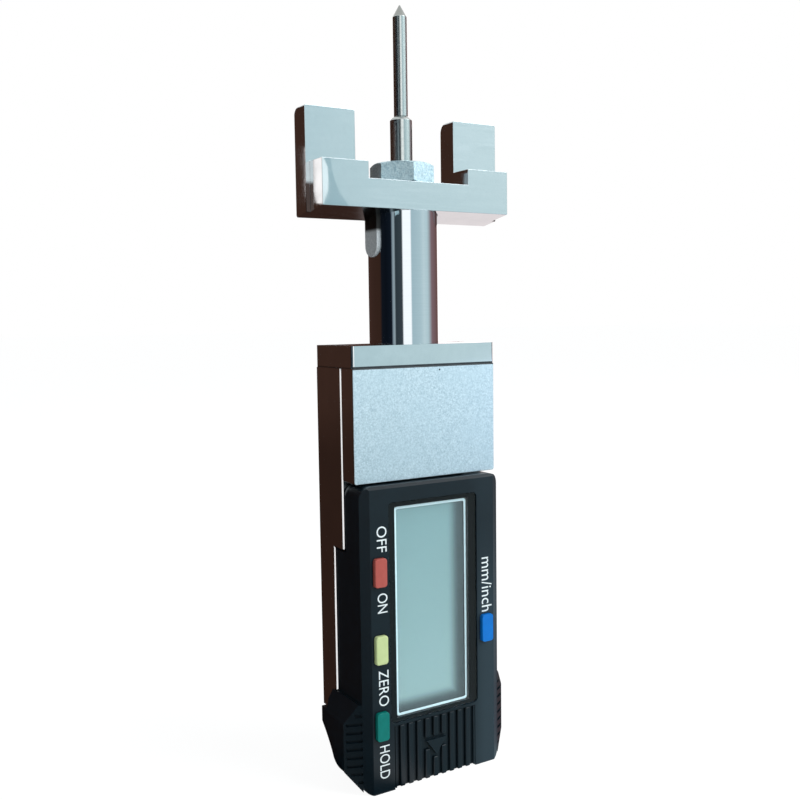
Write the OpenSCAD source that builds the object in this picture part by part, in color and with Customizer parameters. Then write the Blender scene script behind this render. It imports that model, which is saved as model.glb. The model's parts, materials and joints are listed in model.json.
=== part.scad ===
// Needle depth gauge for concrete, with a sliding electronic readout.
// Millimetres. +Z runs along the needle, the display faces -Y and the
// needle axis is x = 0, y = 0. The closed end of the readout is at z = 0.

/* [Body] */
// Width of the body beside the display frame, on each side
column_w = 6.9; // [6.65:0.05:8.5]
// Depth of the housing from its front face to its back face
housing_d = 8.8; // [8.4:0.1:10]
// Distance from the needle axis to the back face
axis_back = 5.9; // [5.6:0.1:7]
// Thickness of the channel side walls
side_wall = 4.2; // [3.9:0.1:5]
// Thickness of the channel back wall
back_wall = 2; // [1.6:0.1:2.4]
// How far the lower side walls are cut back
rebate_d = 3.3; // [2:0.1:4]
// Height of the upper stretch where the side walls keep their depth
shoulder_h = 11.3; // [8:0.1:14]
// Height of the front plate
plate_h = 19; // [14:0.5:26]
// Thickness of the front plate
plate_t = 4.1; // [3.4:0.1:5]
// How much narrower the front plate is on each side
plate_inset = 0.1; // [0:0.05:0.5]
// Corner radius of the front plate's lower end
plate_corner = 0.4; // [0.2:0.1:2]
// Thickness of the cap plate
cap_t = 3.6; // [2.6:0.1:5]
// Radius of the cap's upright corners
cap_corner = 0.6; // [0.2:0.1:1.2]

/* [Stem] */
// Outer diameter of the stem
stem_d = 12; // [10.5:0.1:13]
// Visible length of the stem, cap to foot shoulder
stem_len = 22.4; // [15:0.1:34]
// Bore of the stem, which takes the guide bush
stem_bore = 6; // [5.4:0.1:6.6]
// Diameter of the spigot that is pressed into the cap
spigot_d = 8; // [7.4:0.1:9]
// Diameter of the threaded stud at the top of the stem
stud_d = 6; // [5.4:0.1:6.4]
// Length of the guide bush
bush_len = 8; // [5:0.5:12]

/* [Bridge foot] */
// Width over both posts
foot_w = 37.9; // [34:0.1:44]
// Distance from the needle axis to the front of the foot
foot_front = 5.8; // [5:0.1:7]
// Distance from the needle axis to the back of the foot
foot_back = 2.6; // [2:0.1:4]
// Distance from the needle axis to the front of the posts
post_front = 1.4; // [1:0.1:2]
// Thickness of the foot under the notch
foot_floor = 6.1; // [4.5:0.1:7.5]
// Height of the front step
step_h = 8.8; // [7.6:0.1:11]
// How much narrower the front step is than the posts on each side
step_inset = 0.7; // [0.2:0.1:1.2]
// Height of the posts above the underside
post_h = 17.7; // [13:0.1:24]
// Width of the notch between the posts
notch_w = 19.6; // [15:0.1:24]
// Depth of the round socket that takes the stem
socket_d = 1.4; // [0.8:0.1:2]
// Radius of the foot's upright outer corners
foot_corner = 0.25; // [0.1:0.05:1.2]
// Radius of the posts' upper corners
post_corner = 0.3; // [0.1:0.05:1.2]
// Radius along the back of the posts' tops
post_back_r = 1.6; // [0.5:0.1:2.2]
// Radius along the back of the foot's underside
foot_back_r = 0.9; // [0.3:0.1:1.3]
// Width of the hexagon nut across its flats
nut_af = 9.6; // [8.4:0.1:11]
// Height of the hexagon nut
nut_h = 3.5; // [2.6:0.1:5]
// Turn of the nut about the needle axis
nut_turn = 20; // [0:1:59]
// Width of the stem key
key_w = 4; // [3:0.1:5]
// Length of the stem key
key_len = 7.6; // [6:0.1:12]
// Depth of the keyway in the stem
key_sunk = 1.4; // [1:0.1:1.8]
// How far the key stands out of the stem
key_proud = 0.35; // [0.2:0.05:0.8]

/* [Needle] */
// Diameter of the spindle
spindle_d = 3.8; // [3:0.1:4.2]
// Length of the spindle's chamfered end
spindle_chamfer = 0.5; // [0.2:0.1:0.7]
// Diameter of the needle
needle_d = 2.4; // [1.4:0.1:2.6]
// How far the tip stands beyond the posts
needle_out = 18.5; // [12:0.5:24]
// Bare length of the needle above the spindle
needle_bare = 18.7; // [14:0.1:24]
// How deep the needle sits in the spindle
needle_seat = 6; // [4:0.5:10]
// Diameter of the needle's shank in the spindle
shank_d = 1.7; // [1:0.1:1.7]
// Length of the ground relief between spindle and needle
needle_relief = 0.2; // [0.1:0.05:0.4]
// Length of the pointed tip
tip_len = 2; // [1.2:0.1:4]
// Diameter of the flat on the point
tip_d = 0.2; // [0.1:0.05:0.5]
// Travel of the needle and readout
probe_travel = 19; // [12:0.5:24]

/* [Carriage] */
// Height of the carriage beyond the travel
carriage_spare = 13; // [11:0.5:18]
// Thickness of the carriage
carriage_t = 5.4; // [5:0.1:5.8]
// How deep the spindle sits in the carriage
spindle_seat = 8; // [5:0.5:10]
// Thickness of the brass gib strip
gib_t = 0.8; // [0.5:0.1:1.2]
// Width of the gib strip
gib_w = 4; // [2.5:0.1:5]
// Diameter of the stop pin
pin_d = 3; // [2:0.1:3.4]
// Sideways place of the stop pin and the carriage screws
pin_x = 6; // [5.4:0.1:6.2]
// How far the stop pin reaches into the carriage
pin_in = 1.3; // [0.8:0.1:2]
// Width of the scale strip and sensor board
scale_w = 11; // [8:0.5:11]
// Thickness of the scale strip
scale_t = 0.5; // [0.3:0.1:0.6]
// Thickness of the sensor board
sensor_t = 0.8; // [0.5:0.1:0.9]

/* [Readout case] */
// How far the display face stands in front of the front plate
face_proud = 1.8; // [1.6:0.1:2.6]
// How much narrower the case is than the housing on each side
case_inset = 0.3; // [0.1:0.05:0.6]
// Width of the bevel along each side of the face
bevel_w = 1.45; // [0.8:0.05:1.6]
// Depth of the bevel along each side of the face
bevel_d = 0.95; // [0.5:0.05:1.2]
// Chamfer along the top edge of the face
top_chamfer = 0.5; // [0.2:0.1:0.9]
// Radius of the case's upper corners
case_corner = 2; // [1:0.1:3]
// Radius of the case's lower corners
case_foot_corner = 1.8; // [0.6:0.1:2]
// Thickness of the front wall
front_wall = 1.4; // [1.2:0.05:1.5]
// Thickness of the side walls
case_side = 1.6; // [1.3:0.05:1.8]
// Thickness of the back plate
back_plate = 1.1; // [0.9:0.05:1.4]
// Height of the case above the display frame
top_margin = 3.9; // [3:0.1:6]
// Height of the closed lower end
end_h = 11; // [9:0.1:12]
// How much wider the closed lower end is on each side than the housing
end_proud = 0.3; // [0.1:0.05:0.6]
// Height of the slanted face under the closed end
end_slant_h = 8.3; // [5:0.1:8.7]
// Radius of the closed end's lower corners
end_corner = 3.4; // [1:0.1:4]
// Hollowness of the curve under the closed end; 1 is a straight slant
end_curve = 1.65; // [1:0.05:2]
// Depth of the slanted face under the closed end
end_slant_d = 5.3; // [2:0.1:5.6]

/* [Finger grips] */
// How far the grips stand out from the case
grip_out = 2.5; // [1.5:0.1:3.4]
// Depth of the slanted ribbed face
grip_slant = 2.1; // [1.2:0.1:3]
// Height of the grips where they leave the case
grip_h = 14.9; // [11:0.1:16]
// Height of the grips at their outer edge
grip_edge_h = 8.3; // [6:0.1:10.4]
// Distance from the bottom to the grips
grip_z = 0.6; // [0.3:0.1:1]
// How far the grips wrap round behind the skirts
grip_wrap = 1.4; // [0.6:0.1:2]
// Chamfer on the grips' back edge
grip_edge = 1.1; // [0.3:0.1:1.2]
// Number of grooves in each grip
grip_grooves = 9; // [5:1:10]
// Distance between grooves
grip_pitch = 1.42; // [1.1:0.02:1.5]
// Tilt of the grooves, down towards the outer edge
grip_tilt = 8; // [0:1:15]
// Width of a groove
grip_groove_w = 0.5; // [0.3:0.05:0.7]
// Depth of a groove
grip_groove_d = 0.35; // [0.15:0.05:0.5]
// Plain rim between the ends of the grooves and the grips' outer edge
grip_rim = 0.4; // [0.2:0.05:0.8]

/* [Display] */
// Width of the display frame
frame_w = 14.6; // [12:0.1:15]
// Height of the display frame
frame_h = 35.8; // [33:0.1:40]
// Width of the frame's line
frame_line = 0.45; // [0.3:0.05:0.8]
// Corner radius of the frame
frame_corner = 0.6; // [0.2:0.05:1]
// Thickness of the frame
frame_t = 0.2; // [0.1:0.05:0.2]
// How far the frame covers the edge of the display
frame_lap = 0.3; // [0.15:0.05:0.3]
// Side margin of the window beyond the frame
window_side = 1.6; // [1:0.05:1.7]
// Margin of the window above the frame
window_top = 1; // [0.6:0.1:1.8]
// Margin of the window below the frame
window_foot = 0.7; // [0.5:0.1:0.8]
// Thickness of the window
lens_t = 0.6; // [0.4:0.05:0.7]
// How far the window lies below the face
lens_sunk = 0.2; // [0.1:0.05:0.3]
// Corner radius of the window
lens_corner = 0.8; // [0.4:0.1:1.5]
// Thickness of the display glass
lcd_t = 1.4; // [1:0.05:1.6]
// Thickness of the circuit board
board_t = 0.8; // [0.6:0.1:1]
// Width of the display's contact strips
strip_w = 1.1; // [0.8:0.1:1.4]

/* [Buttons] */
// Width of a button
button_w = 2.3; // [1.8:0.1:2.5]
// Height of a button
button_h = 4.8; // [4:0.1:5.6]
// Corner radius of a button
button_corner = 0.5; // [0.3:0.05:0.9]
// How far a button stands out of the face
button_proud = 0.65; // [0.5:0.05:0.9]
// Distance between the buttons of the left column
button_pitch = 13; // [11.5:0.1:13.3]
// Height of the middle buttons above the display frame's lower edge
button_mid = 12.45; // [11.9:0.05:16]
// Lip of a button behind the face, on each side
button_lip = 0.3; // [0.2:0.05:0.35]
// Thickness of the lip
button_lip_t = 0.5; // [0.3:0.05:0.6]
// Diameter of the button's plunger
plunger_d = 1.8; // [1.2:0.1:2]
// Travel of a button
button_travel = 0.4; // [0.2:0.05:0.45]
// Diameter of a dome switch
dome_d = 2.6; // [2:0.1:2.8]
// Height of a dome switch
dome_t = 0.5; // [0.3:0.05:0.5]

/* [Battery] */
// Diameter of the button cell
cell_d = 11.6; // [11.6:0.1:12]
// Thickness of the button cell
cell_t = 5.4; // [3:0.1:5.6]
// Wall under the cell
cell_floor = 0.6; // [0.5:0.1:1]
// Thickness of the cell contacts
contact_t = 0.3; // [0.2:0.05:0.35]
// How much narrower the battery cover is on each side than the window
cover_inset = 0.7; // [0.6:0.05:1.2]
// Thickness of the battery cover
cover_t = 1.1; // [0.9:0.05:1.2]
// Distance from the bottom to the battery cover
cover_z = 0.2; // [0.1:0.05:0.6]
// Width of the bar between the window and the cover
cover_bar = 0.5; // [0.4:0.05:0.8]
// Width of the cover's guide tongues
tongue_w = 0.6; // [0.4:0.05:0.65]
// Thickness of the cover's guide tongues
tongue_t = 0.4; // [0.3:0.05:0.5]
// Number of grooves in the cover
cover_grooves = 10; // [6:1:10]
// Distance between the cover's grooves
cover_pitch = 1.68; // [1.2:0.04:1.7]
// Width of a groove in the cover
cover_groove_w = 0.7; // [0.3:0.05:0.8]
// Depth of a groove in the cover
cover_groove_d = 0.45; // [0.15:0.05:0.5]
// Width of the arrow on the cover
arrow_w = 4; // [2.5:0.1:5]
// Height of the arrow on the cover
arrow_h = 2.8; // [2:0.1:3.6]
// How far the arrow stands out
arrow_t = 0.2; // [0.1:0.05:0.4]

/* [Screws] */
// Diameter of the screws
screw_d = 2; // [1.6:0.1:2.2]
// Diameter of the countersunk heads
head_d = 3.6; // [3:0.1:3.8]
// Height of the countersunk heads
head_h = 1; // [0.8:0.05:1.1]
// Depth of the cross in the heads
cross_d = 0.6; // [0.3:0.05:0.7]
// Width of the cross in the heads
cross_w = 0.5; // [0.3:0.05:0.6]
// Length of the cap screws
cap_screw_len = 7.4; // [6.4:0.1:8]
// Grip of the plate screws in the plate
plate_screw_grip = 2.8; // [1.5:0.1:3]
// Diameter of the bosses for the case screws
boss_d = 3.2; // [3:0.1:3.4]
// How far the case bosses run into the walls beside them
boss_lap = 0.4; // [0.2:0.05:0.6]
// Diameter of the bosses for the carriage screws
carriage_boss_d = 4; // [3.6:0.1:4.4]

/* [Clearances] */
// Gap between sliding faces
slide_c = 0.2; // [0.1:0.05:0.3]
// Gap at the end stops
stop_c = 0.3; // [0.2:0.05:0.5]
// Radial clearance of the spindle in its guides
run_c = 0.05; // [0.02:0.01:0.08]
// Clearance of pieces that are pressed or screwed together
press_c = 0.02; // [0.01:0.01:0.04]
// Clearance round pieces that drop in
drop_c = 0.1; // [0.05:0.01:0.2]

/* [Hidden] */
$fn = 48;
eps = 0.01;
end_steps = 8;

// Sideways places
body_w = frame_w + 2 * column_w;
body_x = body_w / 2;
case_x = body_x - case_inset;
face_x = case_x - bevel_w;
channel_x = body_x - side_wall;
inner_x = case_x - case_side;
end_x = body_x + end_proud;
lip_w = button_w + 2 * button_lip;
button_x = inner_x - drop_c - lip_w / 2;
boss_x = inner_x - boss_d / 2 + boss_lap;
post_x = notch_w / 2;
wall_mid_x = channel_x + side_wall / 2;
pocket_x = cell_d / 2 + contact_t + 2 * drop_c;
window_x = frame_w / 2 + window_side;
cover_x = window_x - cover_inset;

// Places from front to back
back_y = axis_back;
housing_y = axis_back - housing_d;
floor_y = axis_back - back_wall;
plate_y = housing_y - plate_t;
face_y = plate_y - face_proud;
case_back_y = housing_y - slide_c;
split_y = case_back_y - back_plate;
inner_y = face_y + front_wall;
skirt_y = housing_y + rebate_d - slide_c;
lens_back_y = face_y + lens_sunk + lens_t;
lcd_back_y = inner_y + lcd_t;
board_y = split_y - board_t;
lip_y = inner_y + press_c;
plunger_y = board_y - dome_t - button_travel - drop_c;
carriage_y = case_back_y + carriage_t;
cover_back_y = face_y + cover_t;
cell_y = inner_y + drop_c;
cell_back_y = cell_y + cell_t;
pocket_y = cell_back_y + contact_t;

// Heights, worked out from the battery upwards
cell_z = cell_floor + drop_c + cell_d / 2;
pocket_z = cell_floor + cell_d + 2 * drop_c;
lcd_z = pocket_z + drop_c;
frame_z = lcd_z - frame_lap;
frame_top = frame_z + frame_h;
lcd_h = frame_h - 2 * frame_lap;
lens_z = frame_z - window_foot;
lens_h = frame_h + window_foot + window_top;
cover_top = lens_z - cover_bar - drop_c;
case_h = frame_top + top_margin;
cavity_z = lcd_z - drop_c;
cavity_h = case_h - case_side - cavity_z;
housing_z = end_h + stop_c;
plate_z = case_h + stop_c;
housing_top = plate_z + plate_h;
housing_h = housing_top - housing_z;
rebate_z = case_h - shoulder_h;
skirt_z = rebate_z - stop_c;
cap_top = housing_top + cap_t;
shoulder_z = cap_top + stem_len;
foot_z = shoulder_z - socket_d;
notch_z = foot_z + foot_floor;
step_z = foot_z + step_h;
post_z = foot_z + post_h;
nut_z = notch_z + nut_h;
stud_z = nut_z - stop_c;
tip_z = post_z + needle_out;
spindle_z = tip_z - needle_bare;
mid_button_z = frame_z + button_mid;
pocket_wall = case_side / 2;
carriage_z = pocket_z + pocket_wall + slide_c;
carriage_h = probe_travel + carriage_spare;
carriage_top = carriage_z + carriage_h;
slot_z = carriage_z + screw_d;
pin_z = slot_z + stop_c + pin_d / 2;
slot_h = pin_d + probe_travel + 2 * stop_c;
upper_screw_z = carriage_top - screw_d - head_d / 4;
lower_screw_z = carriage_z + 2 * screw_d;
upper_boss_z = case_h - case_side - boss_d / 2 + boss_lap;
lower_boss_z = mid_button_z - button_pitch / 2;
plate_screw_low = plate_z + plate_h / 4;
plate_screw_high = plate_z + plate_h * 5 / 8;
grip_mid_z = grip_z + grip_h / 2;

// Screw places
case_screw_spots = [for (x = [-boss_x, boss_x], z = [lower_boss_z, upper_boss_z]) [x, z]];
carriage_screw_spots = [[pin_x, upper_screw_z], [-pin_x, lower_screw_z]];
plate_screw_spots = [for (x = [-wall_mid_x, wall_mid_x], z = [plate_screw_low, plate_screw_high]) [x, z]];
cap_screw_y = (housing_y + back_y) / 2;
left_buttons = [mid_button_z - button_pitch, mid_button_z, mid_button_z + button_pitch];
button_spots = concat([for (z = left_buttons) [-button_x, z]], [[button_x, mid_button_z]]);

// A block given by its lower and upper corners
module block(low, high) {
  translate(low) cube(high - low);
}

// An outline in x and z, carried from y0 to y1
module front_prism(y0, y1) {
  translate([0, y1, 0])
    rotate([90, 0, 0])
      linear_extrude(y1 - y0) children();
}

// An outline in y and z, carried along x
module side_prism(x0, x1) {
  translate([x0, 0, 0])
    rotate([90, 0, 90])
      linear_extrude(x1 - x0) children();
}

// A rod along y from y0 to y1
module rod_y(d, x, z, y0, y1) {
  translate([x, y1, z])
    rotate([90, 0, 0])
      cylinder(d = d, h = y1 - y0);
}

// A centred rectangle with round corners
module round_rect(w, h, r) {
  square([w - 2 * r, h], center = true);
  square([w, h - 2 * r], center = true);
  for (x = [-1, 1], y = [-1, 1])
    translate([x * (w / 2 - r), y * (h / 2 - r)]) circle(r);
}

// An upright rectangle from z0 to z1 with round lower corners
module low_round_outline(half_w, z0, z1, r) {
  translate([-half_w, z0 + r]) square([2 * half_w, z1 - z0 - r]);
  translate([-half_w + r, z0]) square([2 * (half_w - r), r + eps]);
  for (x = [-1, 1])
    translate([x * (half_w - r), z0 + r]) circle(r);
}

// An upright rectangle from z0 to z1 with its own radii above and below
module panel_outline(half_w, z0, z1, r_low, r_high) {
  translate([-half_w, z0 + r_low]) square([2 * half_w, z1 - z0 - r_low - r_high]);
  translate([-half_w + r_low, z0]) square([2 * (half_w - r_low), r_low + eps]);
  translate([-half_w + r_high, z1 - r_high - eps]) square([2 * (half_w - r_high), r_high + eps]);
  for (x = [-1, 1]) {
    translate([x * (half_w - r_low), z0 + r_low]) circle(r_low);
    translate([x * (half_w - r_high), z1 - r_high]) circle(r_high);
  }
}

// A countersunk screw along -z with its head's face at z = 0
module screw(length) {
  difference() {
    union() {
      translate([0, 0, -length]) cylinder(d = screw_d, h = length);
      translate([0, 0, -head_h]) cylinder(d1 = screw_d, d2 = head_d, h = head_h);
    }
    for (turn = [0, 90])
      rotate(turn)
        translate([-head_d / 4, -cross_w / 2, -cross_d]) cube([head_d / 2, cross_w, cross_d + eps]);
  }
}

// The hole that takes such a screw
module screw_hole(length) {
  translate([0, 0, -length - drop_c]) cylinder(d = screw_d + 2 * press_c, h = length + drop_c);
  translate([0, 0, -head_h])
    cylinder(d1 = screw_d + 2 * press_c, d2 = head_d + 2 * press_c, h = head_h);
  translate([0, 0, -eps]) cylinder(d = head_d + 2 * press_c, h = head_h);
}

// Puts a screw or its hole at a spot on a face that looks back, pointing forward
module from_back(spot, y) {
  translate([spot[0], y, spot[1]])
    rotate([-90, 0, 0]) children();
}

// What a round corner takes off a square one
module corner_waste(r) {
  difference() {
    square(r + eps);
    circle(r);
  }
}

// Outline of the foot seen from the side
module foot_profile() {
  difference() {
    polygon([
      [foot_back, foot_z],
      [foot_back, post_z],
      [-post_front, post_z],
      [-post_front, step_z],
      [-foot_front, step_z],
      [-foot_front, shoulder_z]
    ]);
    translate([foot_back - post_back_r, post_z - post_back_r]) corner_waste(post_back_r);
    translate([foot_back - foot_back_r, foot_z + foot_back_r])
      mirror([0, 1]) corner_waste(foot_back_r);
  }
}

// Outline of the foot seen from the front, with the notch between the posts
module foot_front_outline() {
  for (side = [-1, 1])
    translate([side * (post_x + foot_w / 2) / 2, (notch_z + post_z) / 2])
      round_rect(foot_w / 2 - post_x, post_z - notch_z, post_corner);
  translate([-foot_w / 2, foot_z]) square([foot_w, notch_z - foot_z]);
  for (side = [-1, 1])
    translate([side * (post_x + foot_w / 2) / 2 - (foot_w / 2 - post_x) / 2, notch_z - eps])
      square([foot_w / 2 - post_x, post_corner + eps]);
}

module bridge_foot() {
  color("lightsteelblue")
    difference() {
      intersection() {
        side_prism(-foot_w / 2, foot_w / 2) foot_profile();
        front_prism(-foot_front, foot_back) foot_front_outline();
        translate([0, (foot_back - foot_front) / 2, foot_z])
          linear_extrude(post_h) round_rect(foot_w, foot_front + foot_back, foot_corner);
      }
      for (turned = [0, 1])
        mirror([turned, 0, 0])
          side_prism(foot_w / 2 - step_inset, foot_w / 2 + eps)
            translate([-foot_front - eps, foot_z - eps])
              square([foot_front - post_front + eps, step_h + 2 * eps]);
      translate([0, 0, foot_z - eps]) cylinder(d = stem_d + 2 * run_c, h = socket_d + eps);
      translate([0, 0, foot_z]) cylinder(d = stud_d + 2 * drop_c, h = post_h);
      block([-stem_d / 2 - key_proud - run_c, -key_w / 2 - run_c, foot_z - eps],
            [0, key_w / 2 + run_c, shoulder_z]);
    }
}

module bridge_nut() {
  corner_r = nut_af / sqrt(3);
  chamfer = corner_r - nut_af / 2;
  color("silver")
    difference() {
      translate([0, 0, notch_z])
        intersection() {
          rotate(nut_turn) cylinder(r = corner_r, h = nut_h, $fn = 6);
          rotate_extrude()
            polygon([
              [0, 0],
              [nut_af / 2, 0],
              [corner_r, chamfer / 2],
              [corner_r, nut_h - chamfer / 2],
              [nut_af / 2, nut_h],
              [0, nut_h]
            ]);
        }
      translate([0, 0, notch_z - eps]) cylinder(d = stud_d + 2 * press_c, h = nut_h + 2 * eps);
    }
}

// Outline of the round-ended key seen from its side
module key_outline(grow) {
  translate([0, shoulder_z - key_len + key_w / 2]) circle(key_w / 2 + grow);
  translate([-key_w / 2 - grow, shoulder_z - key_len + key_w / 2])
    square([key_w + 2 * grow, key_len - key_w / 2]);
}

module stem_key() {
  color("gray")
    side_prism(-stem_d / 2 - key_proud, -stem_d / 2 + key_sunk) key_outline(0);
}

module stem_tube() {
  color("gainsboro")
    difference() {
      union() {
        translate([0, 0, housing_top]) cylinder(d = spigot_d, h = cap_t + eps);
        translate([0, 0, cap_top]) cylinder(d = stem_d, h = stem_len);
        translate([0, 0, shoulder_z - eps]) cylinder(d = stud_d, h = stud_z - shoulder_z + eps);
      }
      translate([0, 0, housing_top - eps])
        cylinder(d = stem_bore, h = shoulder_z - 2 * socket_d - housing_top);
      translate([0, 0, housing_top]) cylinder(d = spindle_d + 2 * run_c, h = stud_z);
      side_prism(-stem_d / 2 - key_proud, -stem_d / 2 + key_sunk + press_c) key_outline(press_c);
    }
}

module guide_bush() {
  color("goldenrod")
    translate([0, 0, housing_top])
      difference() {
        cylinder(d = stem_bore - 2 * press_c, h = bush_len);
        translate([0, 0, -eps]) cylinder(d = spindle_d + 2 * run_c, h = bush_len + 2 * eps);
      }
}

module cap_plate() {
  color("lightsteelblue")
    difference() {
      translate([0, (plate_y + back_y) / 2, housing_top])
        linear_extrude(cap_t) round_rect(body_w, back_y - plate_y, cap_corner);
      translate([0, 0, housing_top - eps]) cylinder(d = spigot_d + 2 * press_c, h = cap_t + 2 * eps);
      for (x = [-wall_mid_x, wall_mid_x])
        translate([x, cap_screw_y, cap_top]) screw_hole(cap_screw_len);
    }
}

module cap_screws() {
  color("dimgray")
    for (x = [-wall_mid_x, wall_mid_x])
      translate([x, cap_screw_y, cap_top]) screw(cap_screw_len);
}

module front_plate() {
  color("lightblue")
    difference() {
      front_prism(plate_y, housing_y)
        low_round_outline(body_x - plate_inset, plate_z, housing_top, plate_corner);
      for (spot = plate_screw_spots)
        from_back(spot, back_y) screw_hole(housing_d + plate_screw_grip);
    }
}

module plate_screws() {
  color("dimgray")
    for (spot = plate_screw_spots)
      from_back(spot, back_y) screw(housing_d + plate_screw_grip);
}

module rear_housing() {
  color("rosybrown")
    difference() {
      block([-body_x, housing_y, housing_z], [body_x, back_y, housing_top]);
      block([-channel_x, housing_y - eps, housing_z - eps], [channel_x, floor_y, housing_top + eps]);
      block([-body_x - eps, housing_y - eps, housing_z - eps],
            [body_x + eps, housing_y + rebate_d, rebate_z]);
      rod_y(pin_d + 2 * press_c, pin_x, pin_z, floor_y - eps, back_y + eps);
      for (spot = plate_screw_spots)
        from_back(spot, back_y) screw_hole(housing_d + plate_screw_grip);
      for (x = [-wall_mid_x, wall_mid_x])
        translate([x, cap_screw_y, cap_top]) screw_hole(cap_screw_len);
    }
}

module stop_pin() {
  color("darkgray")
    rod_y(pin_d, pin_x, pin_z, carriage_y - pin_in, back_y);
}

module scale_strip() {
  color("darkkhaki")
    block([-channel_x + slide_c, floor_y - scale_t, housing_z + stop_c],
          [-channel_x + slide_c + scale_w, floor_y, plate_z - stop_c]);
}

module needle() {
  color("silver")
    union() {
      translate([0, 0, spindle_z - needle_seat]) cylinder(d = shank_d, h = needle_seat + needle_bare / 2);
      translate([0, 0, spindle_z + needle_relief])
        cylinder(d = needle_d, h = needle_bare - needle_relief - tip_len);
      translate([0, 0, tip_z - tip_len]) cylinder(d1 = needle_d, d2 = tip_d, h = tip_len);
    }
}

module spindle() {
  foot = carriage_top - spindle_seat;
  color("slategray")
    difference() {
      union() {
        translate([0, 0, foot]) cylinder(d = spindle_d, h = spindle_z - spindle_chamfer - foot);
        translate([0, 0, spindle_z - spindle_chamfer])
          cylinder(d1 = spindle_d, d2 = spindle_d - 2 * spindle_chamfer, h = spindle_chamfer);
      }
      translate([0, 0, spindle_z - needle_seat])
        cylinder(d = shank_d + 2 * press_c, h = needle_seat + eps);
    }
}

module carriage() {
  color("lightgray")
    difference() {
      block([-channel_x + slide_c, case_back_y, carriage_z],
            [channel_x - slide_c - gib_t, carriage_y, carriage_top]);
      translate([0, 0, carriage_top - spindle_seat])
        cylinder(d = spindle_d + 2 * press_c, h = spindle_seat + eps);
      block([pin_x - pin_d / 2 - slide_c, carriage_y - pin_in - slide_c, slot_z],
            [pin_x + pin_d / 2 + slide_c, carriage_y + eps, slot_z + slot_h]);
      for (spot = carriage_screw_spots)
        from_back(spot, carriage_y) screw_hole(carriage_t + back_plate + board_t);
    }
}

module gib_strip() {
  color("gold")
    block([channel_x - slide_c - gib_t, -gib_w / 2, carriage_z + stop_c],
          [channel_x - slide_c, gib_w / 2, carriage_top - stop_c]);
}

module sensor_board() {
  color("darkgreen")
    block([-channel_x + slide_c, carriage_y, lower_screw_z + head_d],
          [-channel_x + slide_c + scale_w, carriage_y + sensor_t, carriage_top - stop_c]);
}

module carriage_screws() {
  color("dimgray")
    for (spot = carriage_screw_spots)
      from_back(spot, carriage_y) screw(carriage_t + back_plate + board_t);
}

// Outer block of the front shell
module case_blank() {
  intersection() {
    linear_extrude(case_h)
      polygon([
        [-face_x, face_y],
        [face_x, face_y],
        [case_x, face_y + bevel_d],
        [case_x, split_y],
        [-case_x, split_y],
        [-case_x, face_y + bevel_d]
      ]);
    front_prism(face_y, split_y)
      panel_outline(case_x, 0, case_h, case_foot_corner, case_corner);
    side_prism(-case_x, case_x)
      polygon([
        [face_y, 0],
        [split_y, 0],
        [split_y, case_h],
        [face_y + top_chamfer, case_h],
        [face_y, case_h - top_chamfer]
      ]);
  }
}

// Slot in the face for the battery cover, with its guide grooves
module cover_slot() {
  slot_x = cover_x + drop_c;
  groove_x = slot_x + tongue_w;
  tongue_y = cover_back_y - tongue_t;
  block([-slot_x, face_y - eps, -eps], [slot_x, inner_y + eps, cover_top + drop_c]);
  block([-groove_x, tongue_y - drop_c, -eps],
        [groove_x, tongue_y + tongue_t + drop_c, cover_top + drop_c]);
}

module readout_case() {
  hold_z = left_buttons[0];
  color("darkslategray")
    difference() {
      union() {
        difference() {
          case_blank();
          block([-inner_x, inner_y, cavity_z], [inner_x, split_y + eps, cavity_z + cavity_h]);
          block([-inner_x, inner_y, hold_z - button_h / 2 - button_lip - drop_c],
                [-button_x + lip_w / 2 + drop_c, split_y + eps, cavity_z + eps]);
          block([-pocket_x, inner_y - eps, cell_floor], [pocket_x, split_y + eps, cavity_z + eps]);
        }
        for (spot = case_screw_spots)
          rod_y(boss_d, spot[0], spot[1], inner_y - eps, split_y);
      }
      for (spot = case_screw_spots)
        from_back(spot, case_back_y) screw_hole(split_y - inner_y + back_plate);
      front_prism(face_y - eps, lens_back_y)
        translate([0, lens_z + lens_h / 2])
          round_rect(2 * window_x, lens_h, lens_corner);
      block([-frame_w / 2 - drop_c, lens_back_y - eps, frame_z - drop_c],
            [frame_w / 2 + drop_c, inner_y + eps, frame_top + drop_c]);
      for (spot = button_spots)
        front_prism(face_y - eps, inner_y + eps)
          translate(spot) round_rect(button_w + 2 * drop_c, button_h + 2 * drop_c, button_corner + drop_c);
      cover_slot();
    }
}

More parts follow.
